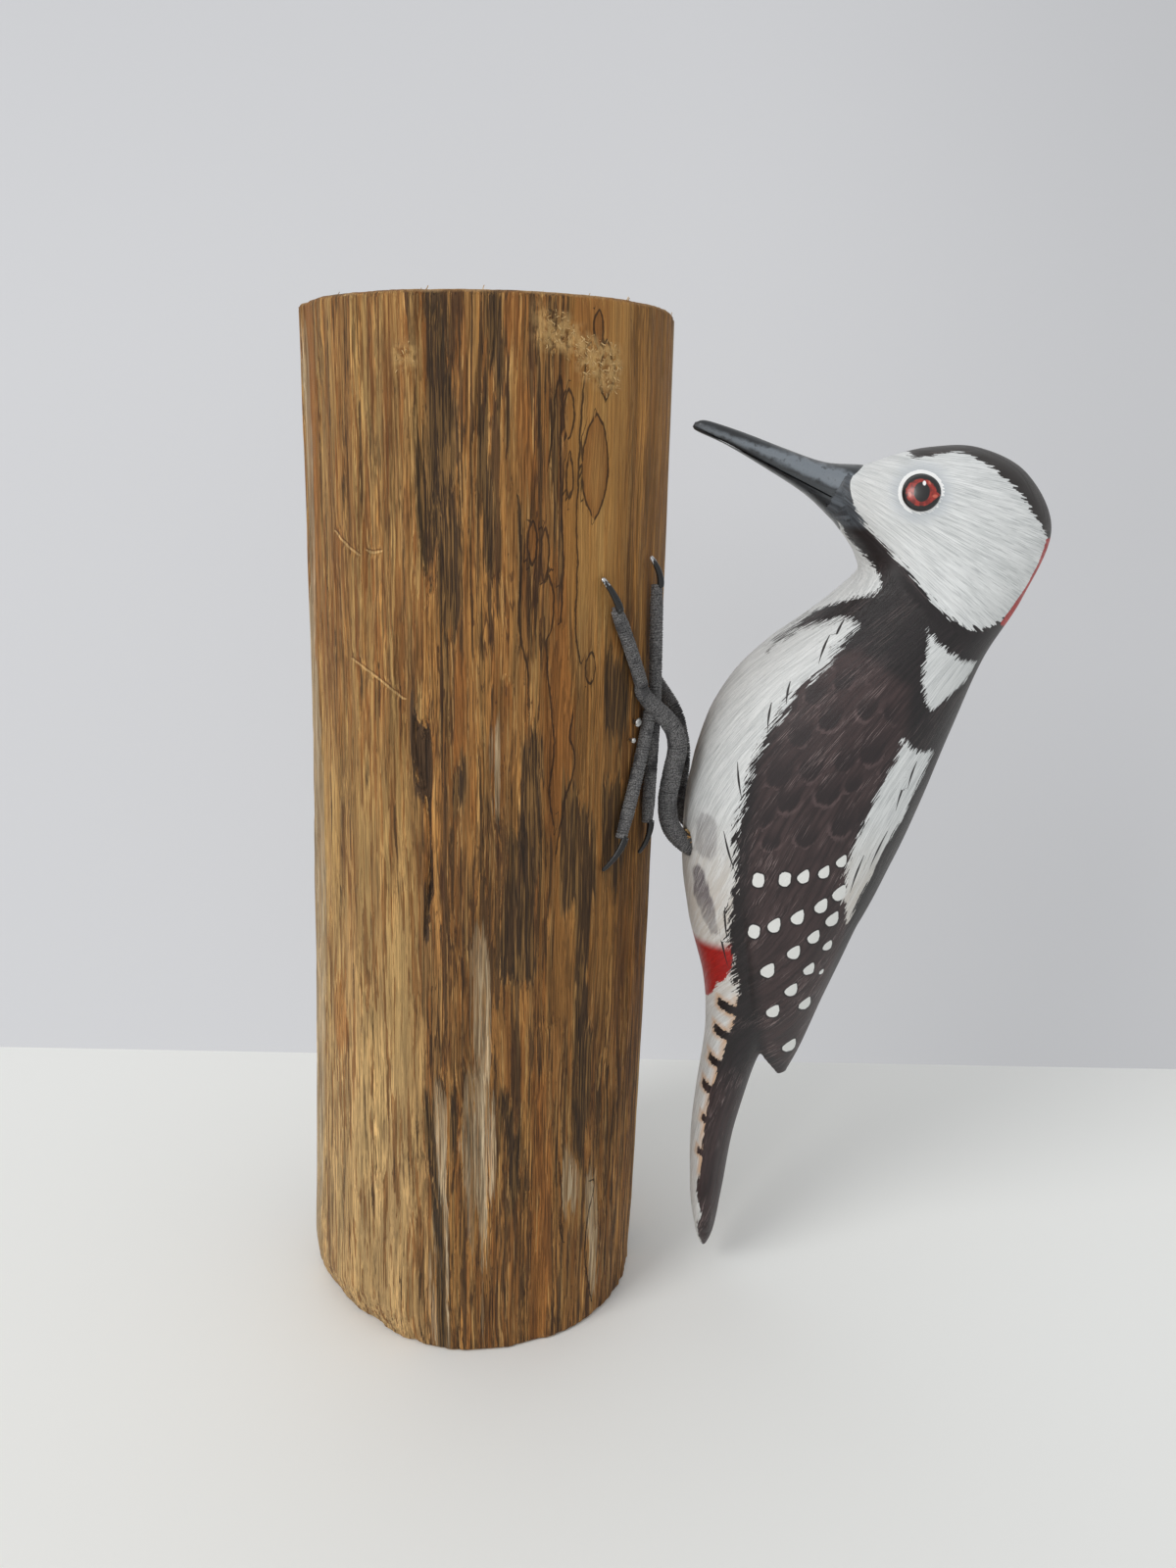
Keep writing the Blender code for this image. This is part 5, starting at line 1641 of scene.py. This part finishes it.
def claw_piece(word, toe):
    """A flattened wire that arches from the end of its toe and hooks into the wood."""
    root, end, tip = np.array(TOES[toe])
    toward = math.copysign(1, end[1] - root[1])
    route, radii = [], []
    for t in np.linspace(-0.12, 1, 8):
        angle, z = end * (1 - t) + tip * t
        hump = 1 - (2 * t - 0.4) ** 2 / 2.6
        lift = (CLAW_RADIUS + GAP) * (1 - t) + 0.5 * CLAW_RADIUS * t + GAP * t + 1.5 * hump
        route.append(on_log(angle, z + 0.45 * toward, lift, word))
        radii.append(CLAW_RADIUS * (1 - 0.45 * max(t, 0)))
    path, radii = fine_path(route, radii, CLAW_STEPS)
    share = np.linspace(0, 1, CLAW_STEPS)
    blunt = np.sqrt(1 - np.clip((share - 1 + TIP_ROUNDING) / TIP_ROUNDING, 0, 1) ** 2) * 0.85 + 0.15
    out, along_turn = circle(CLAW_COLUMNS)
    rings = []
    for k, point in enumerate(path):
        ahead = unit(path[min(k + 1, len(path) - 1)] - path[max(k - 1, 0)])
        flat_way = unit(np.cross(ahead, (1.0, SIDES[word] * 0.4, 0.0)))
        up_way = np.cross(flat_way, ahead)
        section = CLAW_WIDE * out * flat_way + CLAW_TALL * along_turn * up_way
        rings.append(point + radii[k] * blunt[k] * section)
    mesh = mesh_from_grid("claw", to_world(np.array(rings)))
    share = np.append(np.repeat(share, CLAW_COLUMNS), (0, 1))
    bright = 0.42 if toe.startswith("front") else 0.1
    set_values(mesh, "tip", bright * soft_step(0.62, 0.95, share) + 0.16 * soft_step(0.2, 0.0, share))
    return make_object(f"claw_{word}_{toe}_wire", mesh, claw_black)


claws = [(claw_piece(word, toe), f"claw_{word}_{toe}") for word in SIDES for toe in TOES]
print("there are", len(claws), "claws")

# %% Nails
NAILS = {"upper": (27.4, 137.0, 0.9), "lower": (29.6, 133.6, 0.55)}
NAIL_PROUD, NAIL_COLUMNS = 1.6, 32
# Along the nail's axis, and how wide it is there.
NAIL_SHAPE = ((0.0, 0.55), (0.52, 0.55), (0.56, 0.92), (0.62, 1.0), (0.82, 1.0), (0.93, 0.86), (0.985, 0.6),
              (1.0, 0.3))
SLOT_DEPTH, SLOT_HALF, SLOT_TURN = 0.22, 0.2, 0.6


def nail_piece(word, label):
    """A nail turned on its own axis, with a saw slot across its head."""
    angle, z, radius = NAILS[label]
    base = on_log(angle, z, GAP, word)
    outward = on_log(angle, z, NAIL_PROUD, word) - base
    aside = unit(np.cross(outward, (0, 0, 1.0)))
    upward = unit(np.cross(aside, outward))
    across_head, up_head = circle(NAIL_COLUMNS)
    off_slot = np.abs(up_head * math.cos(SLOT_TURN) + across_head * math.sin(SLOT_TURN))
    rings = []
    for t, wide in NAIL_SHAPE:
        slot = SLOT_DEPTH * (off_slot * wide < SLOT_HALF) * (t > 0.8)
        rings.append(base + (t - slot) * outward + radius * wide * (across_head * aside + up_head * upward))
    mesh = mesh_from_grid("nail", to_world(np.array(rings)))
    set_values(mesh, "tip", np.zeros(len(mesh.vertices)))
    return make_object(f"nail_{word}_{label}", mesh, nail_steel)


nails = [(nail_piece(word, label), f"pin_{word}_{label}") for word in SIDES for label in NAILS]
print("there are", len(nails), "nails")

# %% [markdown]
# ## Splinters on the log
# Peeling and sawing leave loose fibres on the torn patch and round the sawn rim. Each one is a thin
# curved blade, scattered where the log's own `fluff` value asks for it.

# %% The splinter tree
sprout, start, sprout_out = new_tree("splinters", [
    ("Most", FLOAT, 4.0e6), ("Length", FLOAT, 1.4 * MM), ("Seed", "NodeSocketInt", 1)])
scattered = add_node(sprout, "GeometryNodeDistributePointsOnFaces", {
    "Mesh": start["Geometry"], "Density": times(start["Most"], named_number(sprout, "fluff")),
    "Seed": start["Seed"]}).outputs
stalk = grow(sprout, "CurvePrimitiveBezierSegment", {
    "Resolution": 5, "Start": (0, 0, 0), "Start Handle": (0, 0, 0.4), "End Handle": (0.15, 0.1, 0.8),
    "End": (0.4, 0.1, 1.0)})
thinner = minus(1.0, times(grow(sprout, "SplineParameter"), 0.8))
blade = swept(sprout, grow(sprout, "SetCurveRadius", {"Curve": stalk, "Radius": thinner}), 3, 0.13)
spin = add_node(sprout, "FunctionNodeRandomValue",
                {0: (-1.3, -1.3, 0.0), 1: (1.3, 1.3, 6.28), "Seed": start["Seed"]},
                data_type="FLOAT_VECTOR").outputs[0]
turned = add_node(sprout, "FunctionNodeRotateRotation", {0: scattered["Rotation"], 1: spin},
                  rotation_space="LOCAL").outputs[0]
long_short = add_node(sprout, "FunctionNodeRandomValue", {2: 0.35, 3: 1.0, "Seed": start["Seed"]},
                      data_type="FLOAT").outputs[1]
placed = grow(sprout, "InstanceOnPoints", {
    "Points": scattered["Points"], "Instance": blade, "Rotation": turned,
    "Scale": times(long_short, start["Length"])})
finish_tree(placed, start["Material"], sprout_out)
print("the splinter tree has", len(sprout.nodes), "nodes")

# %% Splinters on the log, and chips over the leg holes
splinter_wood, tree, shader = start_material("splinter wood", roughness=0.75, specular=0.25)
pale_fibres = use_group(fibre_group, {"Place": millimetres(tree), "Stretch": 0.2})
feed(shader, "Base Color", lay_over((226, 194, 140), (160, 120, 70), pale_fibres.outputs["Middle"]))
splinters = grown("log_splinters", log_mesh.copy(), sprout,
                  {"Most": 1.8e6, "Length": 0.85 * MM, "Seed": 3}, splinter_wood)
chipped = skin.copy()
above_hole = np.max([soft_step(3.4, 2.9, np.linalg.norm(bird - hole, axis=1)) * (bird[:, 2] > hole[2] + 1.0)
                     for hole in LEG_HOLES], axis=0)
set_values(chipped, "fluff", above_hole)
chips_at_holes = grown("leg_hole_chips", chipped, sprout, {"Most": 5.0e6, "Length": 1.3 * MM, "Seed": 5},
                       splinter_wood)
for piece in (splinters, chips_at_holes):
    print(piece.name, "has", len(piece.data.polygons), "faces")

# %% [markdown]
# ## The table, the wall and the light
# The piece stands on a white table close to a pale wall. The wall shows only from the front and takes no
# part in the lighting, so it never hides the back of the model. It also glows by itself as painted light,
# dimmer to the right and higher up. One large soft lamp stands to the left as a window would, and the
# pale surroundings fill the shadows.

# %% Table and wall
HALF_TABLE, WALL_BEHIND = 3.0, 0.095


def flat_sheet(name, corners, finish):
    """One face that only stages the picture."""
    mesh = bpy.data.meshes.new(name)
    mesh.from_pydata(corners, [], [(0, 1, 2, 3)])
    made = make_object(name, mesh, finish, smooth=False)
    return made


table_white, tree, shader = start_material("white table", roughness=0.55)
shader.inputs["Base Color"].default_value = rgb(240, 241, 239)
far = HALF_TABLE
flat_sheet("table", [(-far, -far, 0), (far, -far, 0), (far, far, 0), (-far, far, 0)], table_white)

glowing_wall_paint, tree, shader = start_material("pale wall", roughness=0.8)
shader.inputs["Base Color"].default_value = rgb(120, 121, 125)
shader.inputs["Emission Color"].default_value = (0.97, 0.98, 1.0, 1.0)
wall_place = split(add_node(tree, "ShaderNodeTexCoord").outputs["Object"])
# The wall's glow is painted light: strongest at the left and low down, fading to the right and upwards.
painted_wall_light = times(rise(wall_place[0], 0.04, 0.2, 0.47, 0.375), rise(wall_place[2], 0.2, 0.36, 1.0, 0.88))
feed(shader, "Emission Strength", painted_wall_light)
clear = add_node(tree, "ShaderNodeBsdfTransparent").outputs[0]
behind = add_node(tree, "ShaderNodeNewGeometry").outputs["Backfacing"]
mixed = add_node(tree, "ShaderNodeMixShader", {0: behind, 1: shader.outputs[0], 2: clear}).outputs[0]
feed(tree.nodes["Material Output"], "Surface", mixed)
wall = flat_sheet("wall", [(-far, WALL_BEHIND, 0), (far, WALL_BEHIND, 0), (far, WALL_BEHIND, far),
                           (-far, WALL_BEHIND, far)], glowing_wall_paint)
wall.visible_diffuse = wall.visible_glossy = wall.visible_shadow = False
print("the wall stands", WALL_BEHIND * 1000, "mm behind the middle of the log")

# %% The lamp and the surroundings
LAMP_PLACE, LAMP_AIM = Vector((-2.1, -1.9, 2.2)), Vector((0.0, 0.0, 0.1))
lamp = bpy.data.lights.new("window", "AREA")
lamp.shape = "DISK"
lamp.size = 1.6
lamp.energy = 50.0
lamp.color = (1.0, 0.985, 0.965)
window = add_object("window", lamp)
window.location = LAMP_PLACE
window.rotation_euler = (LAMP_AIM - LAMP_PLACE).to_track_quat("-Z", "Y").to_euler()
world = bpy.data.worlds.new("surroundings")
bpy.context.scene.world = world
world.use_nodes = True
background = world.node_tree.nodes["Background"].inputs
background["Color"].default_value = rgb(236, 237, 238)
background["Strength"].default_value = 0.8
bpy.context.scene.view_settings.view_transform = "Standard"
print("one soft lamp and a pale surround light the piece")

# %% The camera
CAMERA_PLACE = (0.0258, -0.25153, 0.18651)
CAMERA_PITCH, CAMERA_ROLL = math.radians(15.2), math.radians(1.09)
camera_data = bpy.data.cameras.new("camera")
camera_data.lens = 27.045
camera_data.sensor_width = 36.0
camera_data.clip_start = 0.01
camera = add_object("camera", camera_data)
forward = Vector((0, math.cos(CAMERA_PITCH), -math.sin(CAMERA_PITCH)))
right = Vector((1, 0, 0))
upward = right.cross(forward)
turned_right = right * math.cos(CAMERA_ROLL) + upward * math.sin(CAMERA_ROLL)
turned_up = upward * math.cos(CAMERA_ROLL) - right * math.sin(CAMERA_ROLL)
axes = Matrix((turned_right, turned_up, -forward)).transposed().to_4x4()
camera.matrix_world = Matrix.Translation(CAMERA_PLACE) @ axes
bpy.context.scene.camera = camera
print("the camera is", round(camera.location.z * 1000), "mm above the table")

# %% [markdown]
# ## Each piece rides the model
# The model has one body and no joint, so every piece rides its root. Each visual piece hides the packed
# nodes that it replaces; the colour slot listed beside it is not applied.

# %% Ride and replace
FLESH = ("head", "neck", "trunk", "tail", "wing_left", "wing_right")
pieces = [(body, "body_paint", FLESH), (bill_upper, "bill_paint", ("bill_upper",)),
          (bill_lower, "bill_paint", ("bill_lower",)), (log_piece, "log_wood", ("log",)),
          (splinters, "log_wood", ()), (chips_at_holes, "log_wood", ())]
pieces += [(eyes[word], "eye_paint", ("eye_" + word,)) for word in SIDES]
pieces += [(piece, "leg_thread", nodes) for piece, nodes in feet]
pieces += [(piece, "claw_wire", (node,)) for piece, node in claws]
pieces += [(piece, "pin_steel", (node,)) for piece, node in nails]
for piece, slot, nodes in pieces:
    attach(piece, "root")
    if nodes:
        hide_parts(*nodes)
print(len(pieces), "pieces ride the root")
